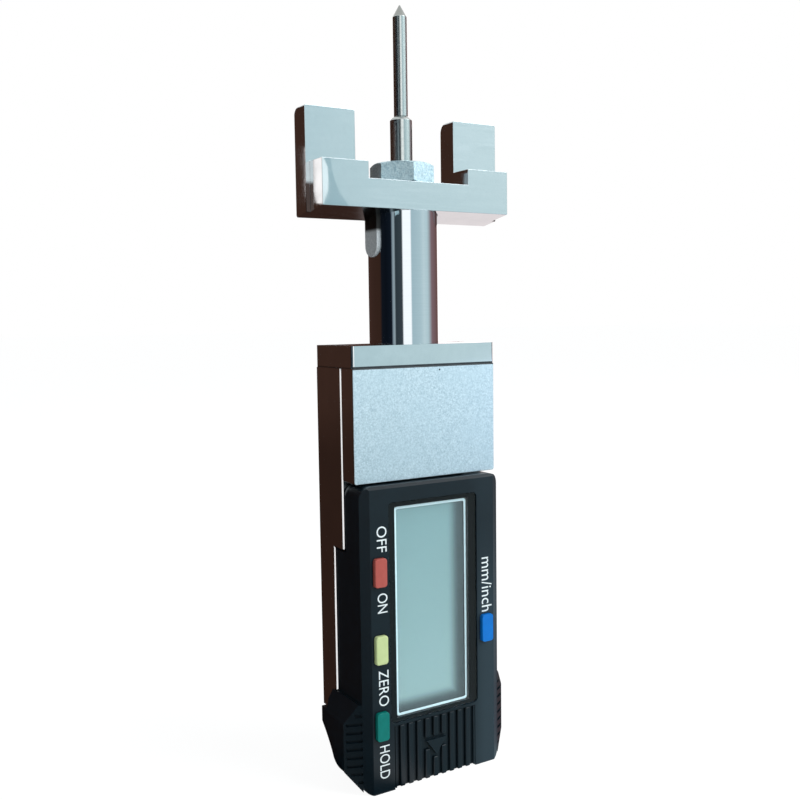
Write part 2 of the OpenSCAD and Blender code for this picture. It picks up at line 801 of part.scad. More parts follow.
// One ribbed finger grip on the right side
module finger_grip() {
  grip_x = case_x + grip_out;
  front = face_y + bevel_d;
  edge_z = grip_mid_z - grip_edge_h / 2;
  slope = atan2(grip_slant, grip_out);
  run = sqrt(grip_out * grip_out + grip_slant * grip_slant);
  fall = (grip_h - grip_edge_h) / 2 / run;
  difference() {
    intersection() {
      translate([0, 0, grip_z])
        linear_extrude(grip_h)
          polygon([
            [case_x, front],
            [grip_x, front + grip_slant],
            [grip_x, skirt_y + grip_wrap - grip_edge],
            [grip_x - grip_edge, skirt_y + grip_wrap],
            [body_x + slide_c, skirt_y + grip_wrap],
            [body_x + slide_c, skirt_y],
            [case_x, skirt_y]
          ]);
      front_prism(front, skirt_y + grip_wrap)
        polygon([
          [case_x, grip_z],
          [case_x, grip_z + grip_h],
          [body_x + slide_c, grip_z + grip_h],
          [grip_x, grip_mid_z + grip_edge_h / 2],
          [grip_x, edge_z],
          [body_x + slide_c, grip_z]
        ]);
      side_prism(case_x, grip_x)
        polygon([
          [front, grip_z],
          [front + grip_slant, edge_z],
          [skirt_y + grip_wrap, end_h],
          [skirt_y + grip_wrap, grip_z + grip_h],
          [front, grip_z + grip_h]
        ]);
    }
    translate([case_x, front, grip_mid_z])
      rotate([0, 0, slope])
        for (i = [0 : grip_grooves - 1]) {
          rise = (i - (grip_grooves - 1) / 2) * grip_pitch;
          low_reach = (grip_h / 2 - grip_groove_w / 2 + rise) / (fall + tan(grip_tilt));
          high_reach = (grip_h / 2 - grip_groove_w / 2 - rise) / (fall - tan(grip_tilt));
          reach = min(run, low_reach, high_reach) - grip_rim;
          translate([0, -eps, rise])
            rotate([0, grip_tilt, 0])
              translate([-run / 2, 0, -grip_groove_w / 2])
                cube([max(eps, run / 2 + reach), grip_groove_d, grip_groove_w]);
        }
  }
}

module readout_back() {
  color("black")
    difference() {
      union() {
        front_prism(split_y, case_back_y)
          panel_outline(case_x, 0, case_h, case_foot_corner, case_corner);
        for (side = [-1, 1])
          block([min(side * (channel_x + stop_c), side * case_x), case_back_y - eps, end_h - eps],
                [max(side * (channel_x + stop_c), side * case_x), skirt_y, skirt_z]);
        intersection() {
          side_prism(-end_x, end_x)
            polygon(concat(
              [[split_y, 0]],
              [for (i = [0 : end_steps])
                [back_y - end_slant_d * (1 - pow(i / end_steps, end_curve)), end_slant_h * i / end_steps]],
              [[back_y, end_h], [split_y, end_h]]
            ));
          front_prism(split_y, back_y)
            low_round_outline(end_x, 0, end_h, end_corner);
        }
        block([-pocket_x - pocket_wall, case_back_y - eps, end_h - eps],
              [pocket_x + pocket_wall, pocket_y + pocket_wall, pocket_z + pocket_wall]);
        finger_grip();
        mirror([1, 0, 0]) finger_grip();
        for (spot = carriage_screw_spots)
          rod_y(carriage_boss_d, spot[0], spot[1], board_y - drop_c, split_y + eps);
      }
      block([-pocket_x, split_y - eps, cell_floor], [pocket_x, pocket_y, pocket_z]);
      for (spot = carriage_screw_spots)
        from_back(spot, carriage_y) screw_hole(carriage_t + back_plate + board_t);
      for (spot = case_screw_spots) {
        from_back(spot, case_back_y) screw_hole(split_y - inner_y + back_plate);
        rod_y(head_d + 2 * drop_c, spot[0], spot[1], case_back_y, skirt_y + eps);
      }
    }
}

module case_screws() {
  color("dimgray")
    for (spot = case_screw_spots)
      from_back(spot, case_back_y) screw(split_y - inner_y + back_plate - drop_c);
}

module window_lens() {
  color("slategray")
    front_prism(face_y + lens_sunk, lens_back_y)
      translate([0, lens_z + lens_h / 2])
        round_rect(2 * (window_x - drop_c), lens_h - 2 * drop_c, lens_corner - drop_c);
}

module lcd_frame() {
  color("whitesmoke")
    front_prism(inner_y - frame_t, inner_y)
      translate([0, frame_z + frame_h / 2])
        difference() {
          round_rect(frame_w, frame_h, frame_corner);
          round_rect(frame_w - 2 * frame_line, frame_h - 2 * frame_line, frame_corner / 2);
        }
}

module lcd_panel() {
  color("darkseagreen")
    block([-frame_w / 2 + frame_lap, inner_y, lcd_z],
          [frame_w / 2 - frame_lap, lcd_back_y, lcd_z + lcd_h]);
}

module lcd_connectors() {
  half = frame_w / 2 - 2 * frame_lap;
  color("hotpink")
    for (z = [lcd_z + strip_w / 2, lcd_z + lcd_h - strip_w * 3 / 2])
      block([-half, lcd_back_y, z], [half, board_y, z + strip_w]);
}

module circuit_board() {
  tab_z = left_buttons[0] - dome_d / 2;
  color("forestgreen")
    difference() {
      union() {
        block([-inner_x + drop_c, board_y, cavity_z + drop_c],
              [inner_x - drop_c, split_y, upper_boss_z - boss_d / 2 - drop_c]);
        block([-boss_x + boss_d / 2 + drop_c, board_y, cavity_z + drop_c],
              [boss_x - boss_d / 2 - drop_c, split_y, cavity_z + cavity_h - drop_c]);
        block([-inner_x + drop_c, board_y, tab_z],
              [-button_x + lip_w / 2, split_y, cavity_z + 2 * drop_c]);
      }
      for (spot = case_screw_spots)
        rod_y(boss_d + 2 * drop_c, spot[0], spot[1], board_y - eps, split_y + eps);
      for (spot = carriage_screw_spots)
        rod_y(carriage_boss_d + 2 * drop_c, spot[0], spot[1], board_y - eps, split_y + eps);
    }
}

module switch_domes() {
  color("lightgray")
    for (spot = button_spots)
      rod_y(dome_d, spot[0], spot[1], board_y - dome_t, board_y);
}

module coin_cell() {
  color("silver")
    rod_y(cell_d, 0, cell_z, cell_y, cell_back_y);
}

module positive_contact() {
  color("gold")
    block([pocket_x - contact_t, cell_y + cell_t / 4, cell_z - cell_d / 4],
          [pocket_x, cell_back_y - cell_t / 4, cell_z + cell_d / 4]);
}

module negative_contact() {
  color("gold")
    block([-cell_d / 4, cell_back_y, cell_z - cell_d / 4],
          [cell_d / 4, cell_back_y + contact_t, cell_z + cell_d / 4]);
}

// A push button with a lip behind the face and a plunger
module button_at(spot) {
  front_prism(face_y - button_proud, lip_y)
    translate(spot) round_rect(button_w, button_h, button_corner);
  front_prism(lip_y - eps, lip_y + button_lip_t)
    translate(spot) round_rect(lip_w, button_h + 2 * button_lip, button_corner);
  rod_y(plunger_d, spot[0], spot[1], lip_y + button_lip_t - eps, plunger_y);
}

module power_button() {
  color("indianred") button_at(button_spots[2]);
}

module zero_button() {
  color("goldenrod") button_at(button_spots[1]);
}

module hold_button() {
  color("teal") button_at(button_spots[0]);
}

module unit_button() {
  color("dodgerblue") button_at(button_spots[3]);
}

module battery_cover() {
  tongue_y = cover_back_y - tongue_t;
  arrow_z = (cover_z + cover_top) / 2;
  color("darkslategray")
    union() {
      difference() {
        union() {
          block([-cover_x, face_y, cover_z], [cover_x, cover_back_y, cover_top]);
          block([-cover_x - tongue_w, tongue_y, cover_z],
                [cover_x + tongue_w, tongue_y + tongue_t, cover_top]);
        }
        for (i = [0 : cover_grooves - 1])
          translate([(i - (cover_grooves - 1) / 2) * cover_pitch - cover_groove_w / 2, face_y - eps, 0])
            cube([cover_groove_w, cover_groove_d + eps, cover_top + eps]);
      }
      front_prism(face_y - arrow_t, face_y + cover_groove_d + eps)
        polygon([
          [-arrow_w / 2, arrow_z + arrow_h / 2],
          [arrow_w / 2, arrow_z + arrow_h / 2],
          [0, arrow_z - arrow_h / 2]
        ]);
    }
}

bridge_foot();
bridge_nut();
stem_key();
stem_tube();
guide_bush();
cap_plate();
cap_screws();
front_plate();
plate_screws();
rear_housing();
stop_pin();
scale_strip();
needle();
spindle();
carriage();
gib_strip();
sensor_board();
carriage_screws();
readout_case();
readout_back();
case_screws();
window_lens();
lcd_frame();
lcd_panel();
lcd_connectors();
circuit_board();
switch_domes();
coin_cell();
positive_contact();
negative_contact();
power_button();
zero_button();
hold_button();
unit_button();
battery_cover();
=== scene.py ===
# %% [markdown]
# # A needle depth gauge, dressed for its picture
# The CAD model gives every solid, its size and how it moves. This lesson gives the solids their looks: broken
# edges, finishes with real grain, printed words, light and a camera. Nothing here changes a size.

# %% Load the frame
import json
import math

import bmesh
import bpy
from mathutils import Matrix, Vector

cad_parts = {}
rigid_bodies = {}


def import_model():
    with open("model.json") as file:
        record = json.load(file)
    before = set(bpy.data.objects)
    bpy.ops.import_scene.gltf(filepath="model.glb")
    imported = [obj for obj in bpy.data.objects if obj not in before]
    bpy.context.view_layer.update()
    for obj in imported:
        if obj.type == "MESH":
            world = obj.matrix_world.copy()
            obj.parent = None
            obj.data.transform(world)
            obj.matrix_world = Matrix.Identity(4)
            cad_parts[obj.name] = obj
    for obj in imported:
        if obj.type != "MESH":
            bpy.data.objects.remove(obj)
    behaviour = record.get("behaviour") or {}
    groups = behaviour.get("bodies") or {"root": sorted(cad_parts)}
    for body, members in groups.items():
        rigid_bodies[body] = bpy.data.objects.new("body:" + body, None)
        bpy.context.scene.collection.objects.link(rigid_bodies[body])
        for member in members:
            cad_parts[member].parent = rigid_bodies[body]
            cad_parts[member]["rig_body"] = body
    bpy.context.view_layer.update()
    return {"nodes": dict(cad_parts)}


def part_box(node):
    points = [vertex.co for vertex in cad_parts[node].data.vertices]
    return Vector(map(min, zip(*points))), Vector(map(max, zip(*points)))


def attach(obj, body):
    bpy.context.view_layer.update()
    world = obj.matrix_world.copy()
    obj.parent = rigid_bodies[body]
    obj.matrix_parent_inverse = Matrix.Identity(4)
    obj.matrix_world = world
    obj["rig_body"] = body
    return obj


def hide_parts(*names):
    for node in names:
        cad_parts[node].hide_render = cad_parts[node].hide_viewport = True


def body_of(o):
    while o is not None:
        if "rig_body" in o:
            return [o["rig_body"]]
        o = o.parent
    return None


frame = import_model()
scene = bpy.context.scene
MM = 0.001

# %% [markdown]
# ## Camera
# The picture was taken from a little left of the front and slightly above the middle of the gauge, close by, so
# upright edges draw together. A camera can be aimed with a target, but the photo also leans by under a degree.
# So the three turns, yaw, pitch and roll, are written out and combined into the camera's own axes.

# %% Camera
yaw, pitch, roll = 0.547, 0.084, -0.014
image_width, focal_in_pixels = 800, 963.469
sensor_mm, nearest = 36, 10 * MM
station = Vector((-88.21, -143.23, 79.09)) * MM
facing_front = Matrix(((1, 0, 0), (0, 0, -1), (0, 1, 0)))
turned = Matrix.Rotation(roll, 3, "Z") @ Matrix.Rotation(pitch, 3, "X") @ facing_front @ Matrix.Rotation(yaw, 3, "Z")
right, down, ahead = (Vector(turned[i]) for i in range(3))

lens_data = bpy.data.cameras.new("photo_camera")
lens_data.sensor_width = sensor_mm
lens_data.lens = focal_in_pixels / image_width * sensor_mm
lens_data.clip_start = nearest
camera = bpy.data.objects.new("photo_camera", lens_data)
scene.collection.objects.link(camera)
camera.matrix_world = Matrix.Translation(station) @ Matrix((right, -down, -ahead)).transposed().to_4x4()
scene.camera = camera
print("camera looks along", [round(v, 3) for v in ahead])

# %% [markdown]
# ## Colours and nodes
# Colours are noted as sRGB hex values, the way a paint chart or a photo gives them, while Blender's sockets hold
# linear light. One function turns the first into the second. Another adds a node, sets it and links it, which keeps
# each finish readable as a short list. A socket that isn't named keeps Blender's value: a Map Range node, for one,
# then gives 0 to 1.

# %% Colours and nodes
def linear(code):
    """Turns an sRGB hex value into a linear colour with alpha."""
    parts = [int(code[i:i + 2], 16) / 255 for i in (1, 3, 5)]
    return [p / 12.92 if p <= 0.04045 else ((p + 0.055) / 1.055) ** 2.4 for p in parts] + [1]


def add(tree, kind, sockets=None, **settings):
    """Adds a shader node. Sockets take a value, or the output that feeds them."""
    node = tree.nodes.new("ShaderNode" + kind)
    for name, value in settings.items():
        setattr(node, name, value)
    for name, value in (sockets or {}).items():
        if isinstance(value, bpy.types.NodeSocket):
            tree.links.new(value, node.inputs[name])
        else:
            node.inputs[name].default_value = value
    return node


print("steel grey in linear light:", [round(v, 3) for v in linear("#C6CDD0")])

# %% [markdown]
# ## Starting a finish and a piece
# Every finish starts as Blender's usual shader, with the place of a point on its piece for patterns to read. Every
# new piece starts as a bmesh, a mesh that operators can shape. An object could be moved into place, but a pattern
# would slide with it, so the place is in the mesh and the object stays at the origin. Two functions take up these
# first steps, and a third makes a node what a surface shows.

# %% Starting a finish and a piece
crease = math.radians(32)


def new_finish(name, **settings):
    """Starts a finish: its material, node tree, shader and the piece's own coordinates."""
    finish = bpy.data.materials.new(name)
    finish.use_nodes = True
    tree = finish.node_tree
    shader = tree.nodes["Principled BSDF"]
    for socket, value in settings.items():
        shader.inputs[socket.replace("_", " ")].default_value = value
    return finish, tree, shader, add(tree, "TexCoord").outputs["Object"]


def new_piece(name, bm):
    """Turns a bmesh into an object at the origin, smooth except at its sharp edges."""
    mesh = bpy.data.meshes.new(name)
    bm.to_mesh(mesh)
    bm.free()
    mesh.shade_smooth()
    mesh.set_sharp_from_angle(angle=crease)
    piece = bpy.data.objects.new(name, mesh)
    scene.collection.objects.link(piece)
    return piece


def show(tree, node, end="Material Output"):
    """Makes a node what the surface shows."""
    tree.links.new(node.outputs[0], tree.nodes[end].inputs["Surface"])


print("faces meet smoothly below", round(math.degrees(crease)), "degrees")

# %% [markdown]
# ## Floor and background
# The gauge was cut out on white. The floor could simply be bright, but light would then pour back onto the gauge.
# Instead the floor is an ordinary pale surface that keeps the shadow, and it is whitened only for the camera and
# for reflections. The world does the same, and lights the gauge at a plain level.

# %% Floor
def seen_by_eye(tree):
    """Gives 1 to the camera, to reflections and to looks through glass, and 0 to the light on the gauge."""
    path = add(tree, "LightPath")
    seen = path.outputs["Is Camera Ray"]
    for ray in ("Is Glossy Ray", "Is Transmission Ray"):
        seen = add(tree, "Math", {0: seen, 1: path.outputs[ray]}, operation="MAXIMUM").outputs[0]
    return seen


scene.view_settings.view_transform = "Standard"
floor_half = 6.0
bm = bmesh.new()
bmesh.ops.create_grid(bm, x_segments=1, y_segments=1, size=floor_half)
floor = new_piece("floor", bm)

white = (1, 1, 1, 1)
paper_share, paper_glow = 0.8, 1.17
floor_paper, tree, shader, _ = new_finish("floor_paper", Base_Color=linear("#EEF0F0"), Roughness=0.9)
share = add(tree, "Math", {0: seen_by_eye(tree), 1: paper_share}, operation="MULTIPLY")
glow = add(tree, "Emission", {"Color": white, "Strength": paper_glow})
show(tree, add(tree, "MixShader", {0: share.outputs[0], 1: shader.outputs[0], 2: glow.outputs[0]}))
floor.data.materials.append(floor_paper)
print("floor", 2 * floor_half, "m wide")

# %% World
room_light = 0.3
scene.world = bpy.data.worlds.new("studio")
scene.world.use_nodes = True
tree = scene.world.node_tree
room = add(tree, "Background", {"Color": linear("#EAF3F6"), "Strength": room_light})
paper = add(tree, "Background", {"Color": white, "Strength": 1})
mixed = add(tree, "MixShader", {0: seen_by_eye(tree), 1: room.outputs[0], 2: paper.outputs[0]})
show(tree, mixed, "World Output")
print("world lights the gauge at", room_light)

# %% [markdown]
# ## Surroundings that the metal mirrors
# Polished steel has hardly any colour of its own: what we see in it is the room. The bands on the round stem tell
# what stood where: a brown wall behind, dark things to the left, a bright window just right of the camera, and a
# pale blue room to the right. The surroundings could be an image on the world, but images aren't used here. So a low
# round screen is spun about the gauge. It is only seen in reflections, so it throws no light or shadow.

# %% Round screen
def only_mirrored(piece):
    """Lets nothing but reflections see a piece."""
    for ray in ("camera", "diffuse", "transmission", "volume_scatter", "shadow"):
        setattr(piece, "visible_" + ray, False)


screen_in, screen_out, screen_foot, screen_top = 4 * MM, 420 * MM, 0.2 * MM, 340 * MM
screen_sides = 96
bm = bmesh.new()
section = ((screen_in, 0, screen_foot), (screen_out, 0, screen_foot), (screen_out, 0, screen_top))
rim = [bm.verts.new(point) for point in section]
edges = [bm.edges.new(pair) for pair in zip(rim, rim[1:])]
bmesh.ops.spin(bm, geom=rim + edges, cent=(0, 0, 0), axis=(0, 0, 1), angle=math.tau, steps=screen_sides,
               use_merge=True)
bmesh.ops.recalc_face_normals(bm, faces=bm.faces)
screen = new_piece("screen", bm)
only_mirrored(screen)
print("screen", round(2 * screen_out, 2), "m across")

# %% [markdown]
# The screen is painted by direction with a radial gradient: 0 degrees is the right, -90 is the front. It is dimmer
# near the floor, and its two windows are brighter than white paper. Low on the right it is a pale table top instead,
# so that the gauge looks like steel from that side too. Three ramps, along X, Y and Z, pick the table's place.

# %% Screen paint
bands = [
    (-180, "#10161F"), (-160, "#161E29"), (-157, "#8595A0"), (-154, "#A9B8BE"), (-150, "#A9B8BE"), (-147, "#39444A"),
    (-125, "#454F55"), (-121, "#FFFFFF"), (-97, "#FFFFFF"), (-93, "#C2DCE4"), (-64, "#CFE8EE"), (-50, "#E2F7FB"),
    (-34, "#D6EEF3"), (-14, "#96797D"), (34, "#6E4C45"), (42, "#FFF3F3"), (54, "#FFF3F3"), (60, "#48312A"),
    (156, "#412B22"), (163, "#161B23"), (180, "#10161F"),
]
gains = {"#FFFFFF": 1.5, "#FFF3F3": 1.5}
screen_paint, tree, _, place = new_finish("screen_paint")
around = add(tree, "TexGradient", {"Vector": place}, gradient_type="RADIAL")
ramp = add(tree, "ValToRGB", {"Fac": around.outputs["Fac"]})
stops = ramp.color_ramp.elements
stops.remove(stops[1])
for degrees, code in bands:
    stop = stops.new(degrees / 360 + 0.5) if degrees > -180 else stops[0]
    stop.color = [gains.get(code, 1) * part for part in linear(code)[:3]] + [1]

ground, dim_top, table_top = 1 * MM, 30 * MM, 50 * MM
table_from, table_full, table_half, table_edge = 30 * MM, 100 * MM, 40 * MM, 80 * MM
axes = add(tree, "SeparateXYZ", {"Vector": place})
level = add(tree, "MapRange", {"Value": axes.outputs["Z"], "From Min": ground, "From Max": dim_top,
                               "To Min": 0.7, "To Max": 1.1})
near_floor = add(tree, "MapRange", {"Value": axes.outputs["Z"], "From Min": ground, "From Max": table_top,
                                    "To Min": 1, "To Max": 0})
aside = add(tree, "MapRange", {"Value": axes.outputs["X"], "From Min": table_from, "From Max": table_full},
            interpolation_type="SMOOTHSTEP")
off_axis = add(tree, "Math", {0: axes.outputs["Y"]}, operation="ABSOLUTE")
across = add(tree, "MapRange", {"Value": off_axis.outputs[0], "From Min": table_half, "From Max": table_edge,
                                "To Min": 0.8, "To Max": 0}, interpolation_type="SMOOTHSTEP")
table = add(tree, "Math", {0: aside.outputs["Result"], 1: across.outputs["Result"]}, operation="MULTIPLY")
table = add(tree, "Math", {0: table.outputs[0], 1: near_floor.outputs["Result"]}, operation="MULTIPLY")
colour = add(tree, "Mix", {"Factor": table.outputs[0], "A": ramp.outputs["Color"], "B": linear("#C9D2D6")},
             data_type="RGBA")
show(tree, add(tree, "Emission", {"Color": colour.outputs["Result"], "Strength": level.outputs["Result"]}))
screen.data.materials.append(screen_paint)
print(len(bands), "bands on the screen")

# %% [markdown]
# Small cards stand close by. Only the left end of the foot's step sees the first, whose lower corner is cut away,
# which draws the curved edge of the shine there. The second is tall, and makes the broken edges of the housing's left
# wall shine as thin white lines. The last two, a bluish one with a slim white one before it, stand in front of the
# step's left end, and give its front the curved patch and the bright edge that it mirrors in the photo. Each card
# stands square to an axis, at a place in millimetres, and its corners are given across and up.

# %% Small cards
white_card, pale_card, blue_card = ("#FFF6F4", 1.6), ("#EFFCFF", 1.4), ("#B8D8E1", 1.0)
cards = {
    "foot_card": (white_card, "X", -24, [
        (3.5, 108.5), (3.5, 98), (5.5, 98.8), (7.5, 99.1), (8.6, 101.5), (8.6, 108.5)]),
    "edge_card": (white_card, "X", -31, [
        (-13.6, 70), (-13.6, 36), (-10.4, 36), (-10.4, 2.5), (-6, 2.5), (-6, 36), (-9.4, 36), (-9.4, 70)]),
    "blue_card": (blue_card, "Y", -12, [
        (-15.4, 106), (-15.4, 97.6), (-9.9, 97.6), (-10.9, 98.9), (-11.9, 100.1), (-12.7, 101.9), (-13.3, 103.8),
        (-13.5, 106)]),
    "pale_card": (pale_card, "Y", -11.9, [
        (-15.4, 106), (-15.4, 98.1), (-15, 98.1), (-14.6, 99.1), (-14.1, 100.3), (-14, 101.9), (-14.1, 104.1),
        (-15, 106)]),
}
for name, ((code, strength), axis, at, outline) in cards.items():
    corners = [(at, across, up) if axis == "X" else (across, at, up) for across, up in outline]
    bm = bmesh.new()
    bm.faces.new([bm.verts.new(Vector(corner) * MM) for corner in corners])
    bmesh.ops.recalc_face_normals(bm, faces=bm.faces)
    card = new_piece(name, bm)
    only_mirrored(card)
    card_paint, tree, _, _ = new_finish(name + "_paint")
    show(tree, add(tree, "Emission", {"Color": linear(code), "Strength": strength}))
    card.data.materials.append(card_paint)
    print(name, "of", len(outline), "corners")

# %% [markdown]
# A larger card of pale blue stands upright on the right, as the sky in a near window does, and the blasted plate sees
# it. It fades out towards the middle, so that only the right side grows lighter. A fade needs a mix with a clear
# shader, because a merely dim card would hide what stands behind it.

# %% Side card
side_y, side_low, side_top = -60 * MM, 46 * MM, 68 * MM
fade_from, fade_to, side_end = 36 * MM, 76 * MM, 120 * MM
sky_glow = 2.8
bm = bmesh.new()
side_outline = ((fade_from, side_low), (side_end, side_low), (side_end, side_top), (fade_from, side_top))
bm.faces.new([bm.verts.new((x, side_y, z)) for x, z in side_outline])
side_card = new_piece("side_card", bm)
only_mirrored(side_card)

side_paint, tree, _, place = new_finish("side_paint")
axes = add(tree, "SeparateXYZ", {"Vector": place})
fade = add(tree, "MapRange", {"Value": axes.outputs["X"], "From Min": fade_from, "From Max": fade_to},
           interpolation_type="SMOOTHSTEP")
clear = add(tree, "BsdfTransparent")
glow = add(tree, "Emission", {"Color": linear("#CFE2FF"), "Strength": sky_glow})
show(tree, add(tree, "MixShader", {0: fade.outputs["Result"], 1: clear.outputs[0], 2: glow.outputs[0]}))
side_card.data.materials.append(side_paint)
print("side card", round((side_end - fade_from) / MM), "mm wide")

# %% [markdown]
# ## Lamps
# One large soft lamp stands to the front and right, above the gauge, as the window did. A weaker one from the left
# keeps the black case from closing up. Large lamps give soft edges to shadows.

# %% Lamps
middle = Vector((0, 0, 65 * MM))


def soft_lamp(name, watts, size, direction, distance, code):
    """An area lamp that faces the middle of the gauge."""
    data = bpy.data.lights.new(name, "AREA")
    data.energy = watts
    data.size = size
    data.color = linear(code)[:3]
    lamp = bpy.data.objects.new(name, data)
    scene.collection.objects.link(lamp)
    towards = Vector(direction).normalized()
    lamp.location = middle + towards * distance
    lamp.rotation_euler = (-towards).to_track_quat("-Z", "Y").to_euler()
    return lamp


key_lamp = soft_lamp("key_lamp", watts=4.6, size=0.5, direction=(0.75, -0.8, 0.7), distance=0.7, code="#FBFDFF")
fill_lamp = soft_lamp("fill_lamp", watts=0.12, size=0.5, direction=(-0.95, -0.45, 0.6), distance=0.8, code="#F3F8FF")
print("lamps:", key_lamp.data.energy, fill_lamp.data.energy, "W")

# %% [markdown]
# ## Ground and polished steel
# The foot, the cap and the housing are stainless steel, surface ground and then polished. Grinding leaves very fine
# parallel lines, and fingers leave faint clouds. A scratch texture could be an image, but a stretched noise makes the
# lines at any size. Real ones are about 0.05 mm apart, too fine to show, so they are drawn at 0.14 mm.

# %% Ground steel
line_run, line_pitch, line_depth, cloud_size = 7 * MM, 0.14 * MM, 0.006 * MM, 5 * MM
ground_steel, tree, shader, place = new_finish("ground_steel", Metallic=1)
along = add(tree, "Mapping", {"Vector": place, "Scale": (1 / line_run, 1 / line_pitch, 1 / line_pitch)})
lines = add(tree, "TexNoise", {"Vector": along.outputs[0], "Scale": 1, "Detail": 3, "Roughness": 0.6})
clouds = add(tree, "TexNoise", {"Vector": place, "Scale": 1 / cloud_size, "Detail": 4, "Roughness": 0.62})
tone = add(tree, "Mix", {"Factor": clouds.outputs["Fac"], "A": linear("#D3D9DB"), "B": linear("#BAC2C5")},
           data_type="RGBA")
dull = add(tree, "Math", {0: lines.outputs["Fac"], 1: clouds.outputs["Fac"]}, operation="MULTIPLY")
rough = add(tree, "MapRange", {"Value": dull.outputs[0], "From Min": 0.1, "From Max": 0.5,
                               "To Min": 0.05, "To Max": 0.2})
bump = add(tree, "Bump", {"Height": lines.outputs["Fac"], "Strength": 0.12, "Distance": line_depth})
print("finish:", ground_steel.name, "with lines", line_pitch / MM, "mm apart")

# %% [markdown]
# The two corners beside the foot's step are painted dark brown, as painted shade. Three tests on the place of a point,
# multiplied, pick those corners and mix the painted shade into the steel's tone. Then what feeds the shader is
# linked to it.

# %% Painted shade in the foot's corners
def feed(tree, shader, **sources):
    """Links what feeds a shader's sockets."""
    for socket, output in sources.items():
        tree.links.new(output, shader.inputs[socket.replace("_", " ")])


step_end, corner_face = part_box("bridge_foot")[1].x - 0.67 * MM, -1.2 * MM
corner_shade_top, corner_shade_fade = 101.6 * MM, 0.8 * MM
axes = add(tree, "SeparateXYZ", {"Vector": place})
side = add(tree, "Math", {0: axes.outputs["X"]}, operation="ABSOLUTE")
beside = add(tree, "Math", {0: side.outputs[0], 1: step_end}, operation="GREATER_THAN")
before = add(tree, "Math", {0: axes.outputs["Y"], 1: corner_face}, operation="LESS_THAN")
under = add(tree, "MapRange", {"Value": axes.outputs["Z"], "From Min": corner_shade_top, "From Max": corner_shade_top - corner_shade_fade,
                               "To Min": 0, "To Max": 0.95}, interpolation_type="SMOOTHSTEP")
corner_shade = add(tree, "Math", {0: beside.outputs[0], 1: before.outputs[0]}, operation="MULTIPLY")
corner_shade = add(tree, "Math", {0: corner_shade.outputs[0], 1: under.outputs["Result"]}, operation="MULTIPLY")
# Painted shade: the two corners beside the step are darkened to brown.
tone = add(tree, "Mix", {"Factor": corner_shade.outputs[0], "A": tone.outputs["Result"], "B": linear("#3F2C25")},
           data_type="RGBA")
feed(tree, shader, Base_Color=tone.outputs["Result"], Roughness=rough.outputs["Result"], Normal=bump.outputs["Normal"])
print("painted shade beyond", round(step_end / MM, 2), "mm from the middle")

# %% [markdown]
# ## Chromed stem
# The stem is a centreless-ground tube with hard chrome on it. It mirrors its surroundings almost perfectly, with
# tiny pits that catch the light. The pits are the dark dots of a fine cell pattern; real ones are a few hundredths
# of a millimetre, drawn here at 0.2 mm. Faint turning rings run round it. A noise keeps mostly to the middle of its
# range, so that span is named once and spread over the roughness.

# %% Hard chrome
noise_span = {"From Min": 0.3, "From Max": 0.7}
ring_run, ring_pitch, pit_spacing, pit_depth = 4 * MM, 0.12 * MM, 0.55 * MM, 0.003 * MM
hard_chrome, tree, shader, place = new_finish("hard_chrome", Metallic=1)
rings = add(tree, "Mapping", {"Vector": place, "Scale": (1 / ring_run, 1 / ring_run, 1 / ring_pitch)})
turning = add(tree, "TexNoise", {"Vector": rings.outputs[0], "Scale": 1, "Detail": 2})
cells = add(tree, "TexVoronoi", {"Vector": place, "Scale": 1 / pit_spacing})
pits = add(tree, "MapRange", {"Value": cells.outputs["Distance"], "From Min": 0.05, "From Max": 0.2})
tone = add(tree, "Mix", {"Factor": turning.outputs["Fac"], "A": linear("#C8CED2"), "B": linear("#C0C6CA")},
           data_type="RGBA")
rough = add(tree, "MapRange", {"Value": turning.outputs["Fac"], **noise_span, "To Min": 0.03, "To Max": 0.06})
bump = add(tree, "Bump", {"Height": pits.outputs["Result"], "Strength": 0.2, "Distance": pit_depth})
feed(tree, shader, Base_Color=tone.outputs["Result"], Roughness=rough.outputs["Result"], Normal=bump.outputs["Normal"])
print("finish:", hard_chrome.name)

# %% [markdown]
# ## Bead-blasted aluminium
# The plate under the cap was blasted with glass beads, which leaves an even skin of tiny dents. It scatters light
# softly and looks pale. Dents of about 0.1 mm are drawn at 0.3 mm so that they show, and a few dark specks are dirt
# in the skin. A noise makes the dents, and the middles of large cells make the specks.

# %% Blasted aluminium
dent_size, dent_depth, drift_size, speck_spacing = 0.3 * MM, 0.03 * MM, 6 * MM, 4.4 * MM
blasted_aluminium, tree, shader, place = new_finish("blasted_aluminium", Metallic=1)
dents = add(tree, "TexNoise", {"Vector": place, "Scale": 1 / dent_size, "Detail": 3, "Roughness": 0.75})
drift = add(tree, "TexNoise", {"Vector": place, "Scale": 1 / drift_size, "Detail": 2})
cells = add(tree, "TexVoronoi", {"Vector": place, "Scale": 1 / speck_spacing})
speck = add(tree, "MapRange", {"Value": cells.outputs["Distance"], "From Min": 0.03, "From Max": 0.045,
                               "To Min": 1, "To Max": 0})
glint = add(tree, "MapRange", {"Value": dents.outputs["Fac"], "From Min": 0.28, "From Max": 0.72})
skin = add(tree, "Mix", {"Factor": glint.outputs["Result"], "A": linear("#93A7B0"), "B": linear("#D0DEE4")},
           data_type="RGBA")
cloud = add(tree, "MapRange", {"Value": drift.outputs["Fac"], **noise_span, "To Min": 0, "To Max": 0.35})
for patch, code in ((cloud, "#B3C6CE"), (speck, "#3A4448")):
    skin = add(tree, "Mix", {"Factor": patch.outputs["Result"], "A": skin.outputs["Result"], "B": linear(code)},
               data_type="RGBA")
rough = add(tree, "MapRange", {"Value": dents.outputs["Fac"], **noise_span, "To Min": 0.46, "To Max": 0.62})
bump = add(tree, "Bump", {"Height": dents.outputs["Fac"], "Strength": 0.5, "Distance": dent_depth})
